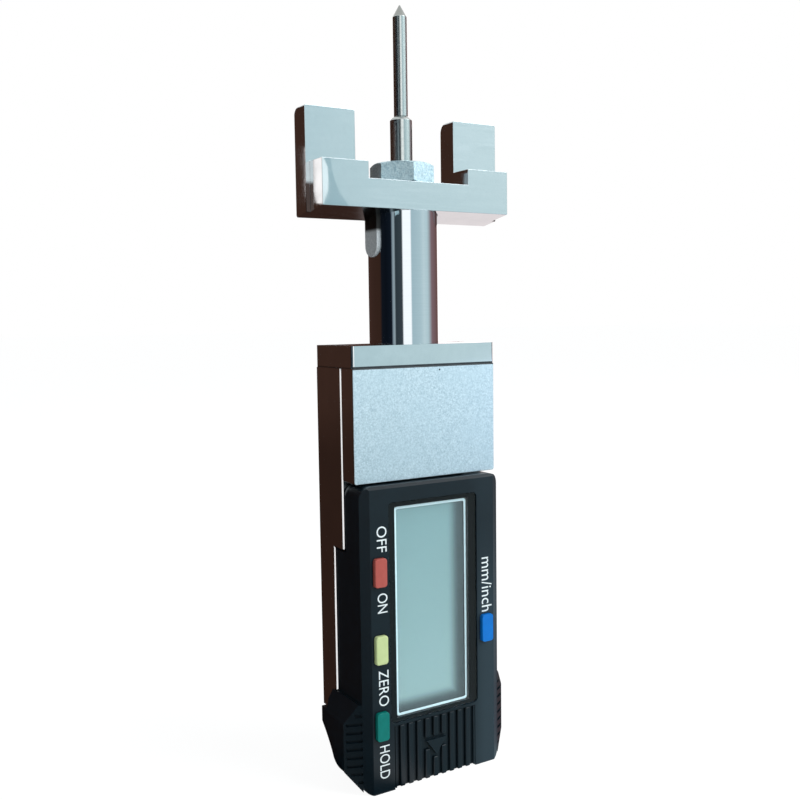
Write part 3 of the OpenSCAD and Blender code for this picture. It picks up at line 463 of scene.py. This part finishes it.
feed(tree, shader, Base_Color=skin.outputs["Result"], Roughness=rough.outputs["Result"], Normal=bump.outputs["Normal"])
print("finish:", blasted_aluminium.name)

# %% [markdown]
# ## Zinc on the nut
# The nut is a common turned piece with bright zinc on it. Zinc grows in small patches, so its faces look mottled. Two
# noises give patches of about half a millimetre and a finer grain in them, both coarser than real ones, so that they
# show.

# %% Zinc-plated steel
patch_size, grain_size, grain_depth = 0.55 * MM, 0.3 * MM, 0.02 * MM
zinc_steel, tree, shader, place = new_finish("zinc_steel", Metallic=1)
patches = add(tree, "TexNoise", {"Vector": place, "Scale": 1 / patch_size, "Detail": 2})
grain = add(tree, "TexNoise", {"Vector": place, "Scale": 1 / grain_size, "Detail": 4, "Roughness": 0.7})
speckle = add(tree, "MapRange", {"Value": grain.outputs["Fac"], "From Min": 0.36, "From Max": 0.64})
tone = add(tree, "Mix", {"Factor": speckle.outputs["Result"], "A": linear("#A3C1CC"), "B": linear("#D6EBF0")},
           data_type="RGBA")
rough = add(tree, "MapRange", {"Value": patches.outputs["Fac"], **noise_span, "To Min": 0.42, "To Max": 0.58})
bump = add(tree, "Bump", {"Height": grain.outputs["Fac"], "Strength": 0.06, "Distance": grain_depth})
feed(tree, shader, Base_Color=tone.outputs["Result"], Roughness=rough.outputs["Result"], Normal=bump.outputs["Normal"])
print("finish:", zinc_steel.name)

# %% [markdown]
# ## Phosphated steel
# The key is a plain milled piece with a grey phosphate coat. The coat is a crust of tiny crystals, so it is dull and
# looks grey from every side. Crystals of a few hundredths of a millimetre are drawn at 0.35 mm so that they show. The
# key's upper end lies in the shade under the foot and is painted dark as painted shade, which is a ramp along Z.

# %% Phosphate coat
crystal_size, crust_depth = 0.35 * MM, 0.04 * MM
key_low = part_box("stem_key")[0].z
foot_shade_from, foot_shade_full = key_low + 4.0 * MM, key_low + 4.8 * MM
phosphated_steel, tree, shader, place = new_finish("phosphated_steel", Metallic=0.25)
crust = add(tree, "TexNoise", {"Vector": place, "Scale": 1 / crystal_size, "Detail": 5, "Roughness": 0.75})
tone = add(tree, "Mix", {"Factor": crust.outputs["Fac"], "A": linear("#88949C"), "B": linear("#FFFFFF")},
           data_type="RGBA")
axes = add(tree, "SeparateXYZ", {"Vector": place})
foot_shade = add(tree, "MapRange", {"Value": axes.outputs["Z"], "From Min": foot_shade_from, "From Max": foot_shade_full},
            interpolation_type="SMOOTHSTEP")
# Painted shade: the key's upper end, under the foot, is darkened.
tone = add(tree, "Mix", {"Factor": foot_shade.outputs["Result"], "A": tone.outputs["Result"], "B": linear("#0C0908")},
           data_type="RGBA")
rough = add(tree, "MapRange", {"Value": crust.outputs["Fac"], **noise_span, "To Min": 0.45, "To Max": 0.65})
bump = add(tree, "Bump", {"Height": crust.outputs["Fac"], "Strength": 0.4, "Distance": crust_depth})
feed(tree, shader, Base_Color=tone.outputs["Result"], Roughness=rough.outputs["Result"], Normal=bump.outputs["Normal"])
print("finish:", phosphated_steel.name)

# %% [markdown]
# ## Needle and spindle
# Hardened rods, ground between centres: fine rings run round them. Their round sides show the dark left and the
# pale right of the room. The rings are a noise that is squeezed along the rod. Real ones are about 0.03 mm apart,
# drawn at 0.16 mm so that they show. The point is a little darker, which a step along Z picks.

# %% Hardened ground steel
rod_run, rod_pitch, rod_depth, point_length = 3 * MM, 0.16 * MM, 0.003 * MM, 1.9 * MM
point_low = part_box("needle")[1].z - point_length
needle_steel, tree, shader, place = new_finish("needle_steel", Metallic=1)
rings = add(tree, "Mapping", {"Vector": place, "Scale": (1 / rod_run, 1 / rod_run, 1 / rod_pitch)})
turning = add(tree, "TexNoise", {"Vector": rings.outputs[0], "Scale": 1, "Detail": 3, "Roughness": 0.6})
tone = add(tree, "Mix", {"Factor": turning.outputs["Fac"], "A": linear("#C0C7C6"), "B": linear("#A3ABAA")},
           data_type="RGBA")
axes = add(tree, "SeparateXYZ", {"Vector": place})
point = add(tree, "Math", {0: axes.outputs["Z"], 1: point_low}, operation="GREATER_THAN")
tone = add(tree, "Mix", {"Factor": point.outputs[0], "A": tone.outputs["Result"], "B": linear("#9FA3A0")},
           data_type="RGBA")
rough = add(tree, "MapRange", {"Value": turning.outputs["Fac"], **noise_span, "To Min": 0.18, "To Max": 0.26})
bump = add(tree, "Bump", {"Height": turning.outputs["Fac"], "Strength": 0.03, "Distance": rod_depth})
feed(tree, shader, Base_Color=tone.outputs["Result"], Roughness=rough.outputs["Result"], Normal=bump.outputs["Normal"])
print("finish:", needle_steel.name)

# %% [markdown]
# ## Black moulded case
# The case is ABS, moulded in a tool with a fine spark-eroded grain. The grain breaks up the shine, so the front is
# a soft dark slate rather than a black mirror. Grains are about 0.05 mm, drawn at 0.13 mm so that they show. The lower
# right of the front is painted paler, painted light as from a bright place low on the right, which three ramps along
# X, Y and Z draw.

# %% Black ABS
erosion_size, erosion_depth, wear_size = 0.13 * MM, 0.02 * MM, 4 * MM
lit_from, lit_to, lit_top, lit_full = 6 * MM, 11 * MM, 46 * MM, 24 * MM
lit_back, lit_face = -7.6 * MM, -8.4 * MM
black_abs, tree, shader, place = new_finish("black_abs", IOR=1.53, Specular_IOR_Level=0.28)
grain = add(tree, "TexNoise", {"Vector": place, "Scale": 1 / erosion_size, "Detail": 3, "Roughness": 0.65})
wear = add(tree, "TexNoise", {"Vector": place, "Scale": 1 / wear_size, "Detail": 5, "Roughness": 0.7})
tone = add(tree, "Mix", {"Factor": wear.outputs["Fac"], "A": linear("#030F17"), "B": linear("#071C25")},
           data_type="RGBA")
axes = add(tree, "SeparateXYZ", {"Vector": place})
aside = add(tree, "MapRange", {"Value": axes.outputs["X"], "From Min": lit_from, "From Max": lit_to},
            interpolation_type="SMOOTHSTEP")
below = add(tree, "MapRange", {"Value": axes.outputs["Z"], "From Min": lit_top, "From Max": lit_full,
                               "To Min": 0.2, "To Max": 1}, interpolation_type="SMOOTHSTEP")
in_front = add(tree, "MapRange", {"Value": axes.outputs["Y"], "From Min": lit_back, "From Max": lit_face},
               interpolation_type="SMOOTHSTEP")
painted_light = add(tree, "Math", {0: aside.outputs["Result"], 1: below.outputs["Result"]}, operation="MULTIPLY")
painted_light = add(tree, "Math", {0: painted_light.outputs[0], 1: in_front.outputs["Result"]}, operation="MULTIPLY")
# Painted light: the lower right of the front is made paler.
tone = add(tree, "Mix", {"Factor": painted_light.outputs[0], "A": tone.outputs["Result"], "B": linear("#2A3A43")},
           data_type="RGBA")
rough = add(tree, "MapRange", {"Value": grain.outputs["Fac"], **noise_span, "To Min": 0.28, "To Max": 0.42})
bump = add(tree, "Bump", {"Height": grain.outputs["Fac"], "Strength": 0.25, "Distance": erosion_depth})
feed(tree, shader, Base_Color=tone.outputs["Result"], Roughness=rough.outputs["Result"], Normal=bump.outputs["Normal"])
print("finish:", black_abs.name)

# %% [markdown]
# ## Button plastics
# The four keys are moulded in coloured ABS with a silky touch. One recipe serves all: a colour that drifts a little,
# and a fine grain, drawn as coarse as the case's. Only the colours differ, so a loop makes the four.

# %% Coloured ABS
silk_size, silk_depth, tint_size = 0.14 * MM, 0.015 * MM, 1.2 * MM
key_colours = {
    "power_button": ("#C4635A", "#B2544B"),
    "zero_button": ("#DAEAAE", "#C9DA98"),
    "hold_button": ("#008279", "#006F67"),
    "unit_button": ("#0081E2", "#0070CB"),
}
key_finish = {}
for button, (pale, deep) in key_colours.items():
    finish, tree, shader, place = new_finish(button + "_abs", IOR=1.53, Specular_IOR_Level=0.18)
    grain = add(tree, "TexNoise", {"Vector": place, "Scale": 1 / silk_size, "Detail": 3, "Roughness": 0.6})
    drift = add(tree, "TexNoise", {"Vector": place, "Scale": 1 / tint_size, "Detail": 2})
    tone = add(tree, "Mix", {"Factor": drift.outputs["Fac"], "A": linear(pale), "B": linear(deep)}, data_type="RGBA")
    rough = add(tree, "MapRange", {"Value": grain.outputs["Fac"], **noise_span, "To Min": 0.4, "To Max": 0.55})
    bump = add(tree, "Bump", {"Height": grain.outputs["Fac"], "Strength": 0.2, "Distance": silk_depth})
    feed(tree, shader, Base_Color=tone.outputs["Result"], Roughness=rough.outputs["Result"],
         Normal=bump.outputs["Normal"])
    key_finish[button] = finish
print("finishes:", len(key_finish), "button colours")

# %% [markdown]
# ## Window
# A pressed acrylic window lies over the display. It is clear, with the black of the case behind its border, so it
# reads as deep glossy black with the display shining through. Faint wiping marks make its shine uneven. Acrylic's
# index is 1.49; a little less matches how weakly this window mirrors the room.

# %% Acrylic
wipe_width, wipe_run = 1 * MM, 6 * MM
clear_acrylic, tree, shader, place = new_finish("clear_acrylic", Base_Color=linear("#F2F8FA"), IOR=1.41,
                                                Specular_IOR_Level=0.15, Transmission_Weight=1)
wiping = add(tree, "Mapping", {"Vector": place, "Scale": (1 / wipe_width, 1 / wipe_width, 1 / wipe_run)})
marks = add(tree, "TexNoise", {"Vector": wiping.outputs[0], "Scale": 1, "Detail": 3})
rough = add(tree, "MapRange", {"Value": marks.outputs["Fac"], "From Min": 0.35, "From Max": 0.75,
                               "To Min": 0.005, "To Max": 0.04})
feed(tree, shader, Roughness=rough.outputs["Result"])
print("finish:", clear_acrylic.name)

# %% [markdown]
# ## Display
# The display is glass with a grey-green reflector behind it and is switched off. A soft dark band of painted shade
# lies along the right and lower edges, where the rim of its recess shades it. Two ramps along X and Z, read from the
# piece's own place, draw it, and a fine grain keeps it from looking sprayed. The reflector's tone darkens a little
# towards the top.

# %% Display glass
low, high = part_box("lcd_panel")
shade_side, shade_foot, side_full, foot_full = 3.9 * MM, 3.2 * MM, 0.8 * MM, 0.4 * MM
frost_size = 0.2 * MM
display_glass, tree, shader, place = new_finish("display_glass", IOR=1.5)
axes = add(tree, "SeparateXYZ", {"Vector": place})
side = add(tree, "MapRange", {"Value": axes.outputs["X"], "From Min": high.x - shade_side,
                              "From Max": high.x - side_full}, interpolation_type="SMOOTHERSTEP")
foot = add(tree, "MapRange", {"Value": axes.outputs["Z"], "From Min": low.z + shade_foot,
                              "From Max": low.z + foot_full}, interpolation_type="SMOOTHERSTEP")
grain = add(tree, "TexNoise", {"Vector": place, "Scale": 1 / frost_size, "Detail": 3})
height = add(tree, "MapRange", {"Value": axes.outputs["Z"], "From Min": low.z, "From Max": high.z})
mirror = add(tree, "Mix", {"Factor": height.outputs["Result"], "A": linear("#88A6A6"), "B": linear("#6E9193")},
             data_type="RGBA")
edge_shade = add(tree, "Math", {0: side.outputs["Result"], 1: foot.outputs["Result"]}, operation="MAXIMUM")
uneven = add(tree, "MapRange", {"Value": grain.outputs["Fac"], **noise_span, "To Min": 0.84, "To Max": 1})
edge_shade = add(tree, "Math", {0: edge_shade.outputs[0], 1: uneven.outputs["Result"]}, operation="MULTIPLY")
# Painted shade: a dark band along the right and lower edges of the display.
tone = add(tree, "Mix", {"Factor": edge_shade.outputs[0], "A": mirror.outputs["Result"], "B": linear("#1E3036")},
           data_type="RGBA")
rough = add(tree, "MapRange", {"Value": grain.outputs["Fac"], **noise_span, "To Min": 0.3, "To Max": 0.42})
feed(tree, shader, Base_Color=tone.outputs["Result"], Roughness=rough.outputs["Result"])
print("finish:", display_glass.name, "edge_shade", shade_side / MM, "mm wide")

# %% [markdown]
# ## Inks
# The words and the line round the display are screen printed: a thin coat of ink, uneven by the quarter millimetre.
# The words are white, and the line is a paler tone of the display. The border of the window is backed with black,
# which shines much less than the case does. A loop makes the three from two tones and a shine each.

# %% Inks
coat_size = 0.25 * MM
ink_tones = {
    "white_ink": ("#E8F6F9", "#FAFFFF", 0.5),
    "pale_ink": ("#C0DADF", "#D2E8EC", 0.5),
    "black_ink": ("#040C10", "#08141A", 0.08),
}
inks = {}
for name, (deep, pale, shine) in ink_tones.items():
    finish, tree, shader, place = new_finish(name, IOR=1.5, Specular_IOR_Level=shine)
    coat = add(tree, "TexNoise", {"Vector": place, "Scale": 1 / coat_size, "Detail": 3})
    tone = add(tree, "Mix", {"Factor": coat.outputs["Fac"], "A": linear(deep), "B": linear(pale)}, data_type="RGBA")
    rough = add(tree, "MapRange", {"Value": coat.outputs["Fac"], **noise_span, "To Min": 0.45, "To Max": 0.6})
    feed(tree, shader, Base_Color=tone.outputs["Result"], Roughness=rough.outputs["Result"])
    inks[name] = finish
print("finishes:", ", ".join(inks))

# %% [markdown]
# ## Painted shade along the joint
# The cap was polished on the finished body, which rounded the edges of the joint under it into a shallow groove in
# shade. A dark, dull line of painted shade is drawn along it. It could be a thin strip of its own, but it has no
# thickness to speak of, so it is only a finish for the faces beside the joint.

# %% Painted joint shade
shade_mottle_size = 1.5 * MM
joint_shade, tree, shader, place = new_finish("joint_shade", IOR=1.45)
shade_mottle = add(tree, "TexNoise", {"Vector": place, "Scale": 1 / shade_mottle_size, "Detail": 3})
# Painted shade: a nearly black, dull line along the joint.
tone = add(tree, "Mix", {"Factor": shade_mottle.outputs["Fac"], "A": linear("#171C1F"), "B": linear("#3A444A")},
           data_type="RGBA")
rough = add(tree, "MapRange", {"Value": shade_mottle.outputs["Fac"], **noise_span, "To Min": 0.4, "To Max": 0.6})
feed(tree, shader, Base_Color=tone.outputs["Result"], Roughness=rough.outputs["Result"])
print("finish:", joint_shade.name)

# %% [markdown]
# ## Inner pieces
# Brass, circuit board, rubber, spring metal and plain steel only show when the cover is off or the readout is down,
# but each is still a material of its own. They share one recipe: two close tones, metal or not, the smoothest and the
# roughest that the surface gets, and the size of its grain in millimetres.

# %% Inner finishes
inner_recipes = {
    "turned_brass": ("#D8B66A", "#B98F42", 1, 0.22, 0.38, 0.2),
    "solder_resist_board": ("#1F6B45", "#174F35", 0, 0.3, 0.45, 0.5),
    "contact_rubber": ("#D98AA0", "#B96F86", 0, 0.6, 0.75, 0.25),
    "spring_steel": ("#C9CCCB", "#A9ADAE", 1, 0.2, 0.34, 0.3),
    "blackened_screw_steel": ("#8B9194", "#5E6568", 1, 0.28, 0.45, 0.25),
    "machined_aluminium": ("#C6CACC", "#A9AEB1", 1, 0.3, 0.42, 0.3),
    "cell_can": ("#DFE2E2", "#BFC4C5", 1, 0.12, 0.25, 0.35),
}
inner_depth = 0.02 * MM
inner_finish = {}
for name, (pale, deep, metal, smoothest, roughest, size) in inner_recipes.items():
    finish, tree, shader, place = new_finish(name, Metallic=metal)
    grain = add(tree, "TexNoise", {"Vector": place, "Scale": 1 / (size * MM), "Detail": 4, "Roughness": 0.65})
    tone = add(tree, "Mix", {"Factor": grain.outputs["Fac"], "A": linear(pale), "B": linear(deep)}, data_type="RGBA")
    rough = add(tree, "MapRange", {"Value": grain.outputs["Fac"], **noise_span,
                                   "To Min": smoothest, "To Max": roughest})
    bump = add(tree, "Bump", {"Height": grain.outputs["Fac"], "Strength": 0.2, "Distance": inner_depth})
    feed(tree, shader, Base_Color=tone.outputs["Result"], Roughness=rough.outputs["Result"],
         Normal=bump.outputs["Normal"])
    inner_finish[name] = finish
print("finishes:", ", ".join(inner_finish))

# %% [markdown]
# ## Breaking the edges
# No real edge is perfectly sharp: a ground edge is stoned by a tenth of a millimetre and a moulded one has a small
# radius, and it is that thin line that catches the light. The CAD solids keep sharp edges where they are plain
# machining. So a copy of each visible solid is merged, its flat faces are joined, and its sharp edges are bevelled
# with the bevel operator. The copy stands in for the solid and rides on the same body. The operator can narrow every
# edge to suit the tightest one. On the housing and the cap the short steps round the holes are left out instead, and
# the cap, the foot and the plate have room for the full width. The housing's wide faces are kept flat up to their
# edges, so that no shade runs across them.

# %% Edge helpers
weld, flat_angle, corner_angle = 0.0005 * MM, math.radians(0.6), math.radians(28)


def break_edges(bm, edges, width, segments, clamp=True):
    """Rounds edges to a width with the bevel operator."""
    bmesh.ops.bevel(bm, geom=edges, offset=width, offset_type="OFFSET", segments=segments, profile=0.5,
                    affect="EDGES", clamp_overlap=clamp, material=-1)


def soften(node, width, finish, segments=2, shortest=0, clamp=True, flat_over=math.inf):
    """A copy of a node with its sharp edges broken, in its finish. Faces over an area can be kept flat."""
    solid = frame["nodes"][node]
    bm = bmesh.new()
    bm.from_mesh(solid.data)
    bmesh.ops.remove_doubles(bm, verts=bm.verts, dist=weld)
    bmesh.ops.dissolve_limit(bm, angle_limit=flat_angle, verts=bm.verts, edges=bm.edges)
    corners = [e for e in bm.edges
               if e.is_manifold and e.calc_face_angle() > corner_angle and e.calc_length() > shortest]
    break_edges(bm, corners, width, segments, clamp)
    piece = new_piece(node + "_soft", bm)
    piece.data.materials.append(finish)
    for face in piece.data.polygons:
        if face.area > flat_over:
            for i in face.loop_indices:
                piece.data.edges[piece.data.loops[i].edge_index].use_edge_sharp = True
    piece.modifiers.new("even_shading", "WEIGHTED_NORMAL").keep_sharp = True
    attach(piece, body_of(solid)[0])
    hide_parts(node)
    return piece


print("edges over", round(math.degrees(corner_angle)), "degrees are broken")

# %% Softened copies
stoned, moulded = 0.1 * MM, 0.12 * MM
hole_step, wide_face = 0.8 * MM, 50 * MM * MM
soft = [
    soften("bridge_foot", 0.6 * stoned, ground_steel, clamp=False),
    soften("cap_plate", 1.2 * stoned, ground_steel, shortest=hole_step, clamp=False),
    soften("rear_housing", 2 * stoned, ground_steel, segments=1, shortest=hole_step, flat_over=wide_face),
    soften("front_plate", 1.2 * stoned, blasted_aluminium, clamp=False),
    soften("stem_tube", stoned, hard_chrome),
    soften("bridge_nut", stoned, zinc_steel),
    soften("stem_key", stoned, phosphated_steel),
    soften("spindle", stoned / 2, needle_steel),
    soften("needle", stoned / 4, needle_steel),
    soften("readout_case", moulded, black_abs),
    soften("readout_back", moulded, black_abs),
    soften("lcd_frame", moulded / 6, inks["pale_ink"]),
]
soft += [soften(button, 2 * moulded, key_finish[button], segments=3) for button in key_colours]
for piece in soft:
    print(piece.name, len(piece.data.polygons), "faces")

# %% [markdown]
# Four pieces wear more than one finish. The front plate is only blasted in front and its sides are ground, and a line
# of painted shade lies where it and the cap meet. The line round the display is printed on the front of a dark rim,
# and the case is black behind the border of the window. Faces are picked by where they point and lie, and a face that
# only changes in part is first cut in two.

# %% More than one finish on a piece
def further_finish(piece, finish, wanted):
    """Gives the faces that are wanted a further finish."""
    piece.data.materials.append(finish)
    faces = [f for f in piece.data.polygons if wanted(f.normal, f.center)]
    for face in faces:
        face.material_index = len(piece.data.materials) - 1
    print(piece.name, len(faces), "faces in", finish.name)


def cut_faces(piece, point, normal):
    """Cuts a piece's faces where a plane crosses them, and leaves its shape as it is."""
    bm = bmesh.new()
    bm.from_mesh(piece.data)
    bmesh.ops.bisect_plane(bm, geom=[*bm.verts, *bm.edges, *bm.faces], plane_co=point, plane_no=normal)
    bm.to_mesh(piece.data)
    bm.free()


# A normal's Y is -1 on a face that looks straight to the front.
blasted_y, joint_shade_y, printed_y, flat_y = -0.2, -0.1, -0.5, -0.9
joint_z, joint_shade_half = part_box("front_plate")[1].z, 0.26 * MM
lens_back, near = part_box("window_lens")[1].y, 0.05 * MM
by_name = {piece.name: piece for piece in soft}
further_finish(by_name["front_plate_soft"], ground_steel, lambda n, c: n.y > blasted_y)
# Painted shade: a dark line on the faces beside the joint of the plate and the cap.
for neighbour, edge_z in (("front_plate_soft", joint_z - joint_shade_half), ("cap_plate_soft", joint_z + joint_shade_half)):
    cut_faces(by_name[neighbour], (0, 0, edge_z), (0, 0, 1))
    further_finish(by_name[neighbour], joint_shade, lambda n, c: abs(c.z - joint_z) < joint_shade_half and n.y < joint_shade_y)
further_finish(by_name["lcd_frame_soft"], black_abs, lambda n, c: n.y > printed_y)
further_finish(by_name["readout_case_soft"], inks["black_ink"],
               lambda n, c: n.y < flat_y and abs(c.y - lens_back) < near)

# %% [markdown]
# ## Ribbed battery cover
# The cover slides down with a thumb on its ribs. Bevelling a copy of the solid would tangle the edges where the
# arrow crosses the ribs. So the cover is built again from a plate, a tongue, eleven ribs with round tops and a
# raised arrow that points the way it slides, each a cube or a triangle with its edges bevelled. The ribs that would
# run through the arrow stop short of it, so that it stands free. All sizes are in millimetres until the end.

# %% Plate and ribs of the cover
def brick(bm, low, high, edge, segments=2):
    """A box between two corners, in millimetres, with bevelled edges."""
    low, high = Vector(low), Vector(high)
    made = bmesh.ops.create_cube(bm, size=1)["verts"]
    size = [*(high - low), 1]
    bmesh.ops.transform(bm, matrix=Matrix.Translation((low + high) / 2) @ Matrix.Diagonal(size), verts=made)
    break_edges(bm, list({e for v in made for e in v.link_edges}), edge, segments)


low, high = (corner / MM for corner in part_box("battery_cover"))
cover_tongue, cover_face, cover_dip, tongue_depth = 0.6, 0.2, 0.45, 0.5
cover_edge, rib_round, rib_root = 0.06, 0.2, 0.1
groove_count, groove_pitch, groove_width = 10, 1.68, 0.7
arrow_half, arrow_top, arrow_tip, arrow_room = 2.0, 6.95, 4.15, 0.45
front = low.y + cover_face
root = front + cover_dip + rib_root
left, right_end = low.x + cover_tongue, high.x - cover_tongue
bm = bmesh.new()
brick(bm, (left, front + cover_dip, low.z), (right_end, high.y, high.z), cover_edge)
brick(bm, (low.x, high.y - tongue_depth, low.z), (high.x, high.y, high.z), cover_edge)
start = left
for i in range(groove_count + 1):
    groove = (i - (groove_count - 1) / 2) * groove_pitch - groove_width / 2
    end = groove if i < groove_count else right_end
    inner = min(abs(start), abs(end)) if start * end > 0 else 0
    slant = arrow_tip + (arrow_top - arrow_tip) * inner / arrow_half
    runs = [(low.z, high.z)]
    if inner < arrow_half:
        runs = [(low.z, slant - arrow_room), (arrow_top + arrow_room, high.z)]
    for z_from, z_to in runs:
        brick(bm, (start, front, z_from), (end, root, z_to), min(rib_round, (end - start) / 3), segments=3)
    start = groove + groove_width
print(groove_count + 1, "ribs")

# %% Arrow of the cover
arrow_edge = 0.08
outline = ((-arrow_half, arrow_top), (0, arrow_tip), (arrow_half, arrow_top))
top = bm.faces.new([bm.verts.new((x, low.y, z)) for x, z in outline])
walls = bmesh.ops.extrude_face_region(bm, geom=[top])["geom"]
foot_points = [g for g in walls if isinstance(g, bmesh.types.BMVert)]
bmesh.ops.translate(bm, vec=(0, cover_face + cover_dip + rib_root, 0), verts=foot_points)
break_edges(bm, list(top.edges), arrow_edge, segments=2)
bmesh.ops.scale(bm, vec=(MM, MM, MM), verts=bm.verts)
bmesh.ops.recalc_face_normals(bm, faces=bm.faces)
cover = new_piece("battery_cover_ribbed", bm)
cover.data.materials.append(black_abs)
cover.modifiers.new("even_shading", "WEIGHTED_NORMAL").keep_sharp = True
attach(cover, "battery_cover")
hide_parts("battery_cover")
print(cover.name, len(cover.data.polygons), "faces")

# %% [markdown]
# ## Finishes of the other solids
# The rest keeps its CAD shape. Each solid gets its finish in its own material slot. The window throws no shadow,
# because light that passes clear acrylic reaches the display almost whole.

# %% Finishes of plain solids
inner_solids = {
    "turned_brass": ("guide_bush", "gib_strip"),
    "solder_resist_board": ("circuit_board", "scale_strip", "sensor_board"),
    "contact_rubber": ("lcd_connectors",),
    "spring_steel": ("switch_domes", "positive_contact", "negative_contact"),
    "blackened_screw_steel": ("cap_screws", "plate_screws", "carriage_screws", "case_screws", "stop_pin"),
    "machined_aluminium": ("carriage",),
    "cell_can": ("coin_cell",),
}
plain = {"window_lens": clear_acrylic, "lcd_panel": display_glass}
plain |= {node: inner_finish[name] for name, nodes in inner_solids.items() for node in nodes}
for node, finish in plain.items():
    frame["nodes"][node].data.materials[0] = finish
frame["nodes"]["window_lens"].visible_shadow = False
print(len(plain), "solids keep their CAD shape")

# %% [markdown]
# ## Printed words
# Beside the buttons stand the usual words, read from above down. Text could be a picture on the case, but it
# would need an image. So each word is a text curve, made a mesh, fitted to the box that the photo gives it on the
# face of the case, and laid on as ink two hundredths of a millimetre thick. The curve's own depth can be any, because
# the fit sets it.

# %% Words
left_words, right_words = (-11.2, -9.3), (9.9, 12.06)
words = [
    ("OFF", left_words, 45.3, 41.0),
    ("ON", left_words, 34.1, 30.8),
    ("ZERO", left_words, 21.1, 15.0),
    ("HOLD", left_words, 8.2, 2.5),
    ("mm/inch", right_words, 37.2, 27.5),
]
case_face, ink_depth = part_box("readout_case")[0].y, 0.02 * MM
curve_steps, any_depth, same_point = 4, 0.5, 1e-5
for word, (x_low, x_high), z_top, z_low in words:
    curve = bpy.data.curves.new("word", "FONT")
    curve.body = word
    curve.resolution_u = curve_steps
    curve.extrude = any_depth
    writing = bpy.data.objects.new("word", curve)
    scene.collection.objects.link(writing)
    mesh = bpy.data.meshes.new_from_object(writing.evaluated_get(bpy.context.evaluated_depsgraph_get()))
    bpy.data.objects.remove(writing)
    bm = bmesh.new()
    bm.from_mesh(mesh)
    bmesh.ops.remove_doubles(bm, verts=bm.verts, dist=same_point)
    low = Vector([min(v.co[i] for v in bm.verts) for i in range(3)])
    high = Vector([max(v.co[i] for v in bm.verts) for i in range(3)])
    size = high - low
    fit = Matrix.Diagonal(((z_top - z_low) * MM / size.x, (x_high - x_low) * MM / size.y, ink_depth / size.z, 1))
    lay = Matrix(((0, 1, 0, x_low * MM), (0, 0, -1, case_face), (-1, 0, 0, z_top * MM), (0, 0, 0, 1)))
    bmesh.ops.transform(bm, matrix=lay @ fit @ Matrix.Translation(-low), verts=bm.verts)
    piece = new_piece("print_" + word.replace("/", "_"), bm)
    piece.data.materials.append(inks["white_ink"])
    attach(piece, "readout")
    print(piece.name, len(piece.data.polygons), "faces")
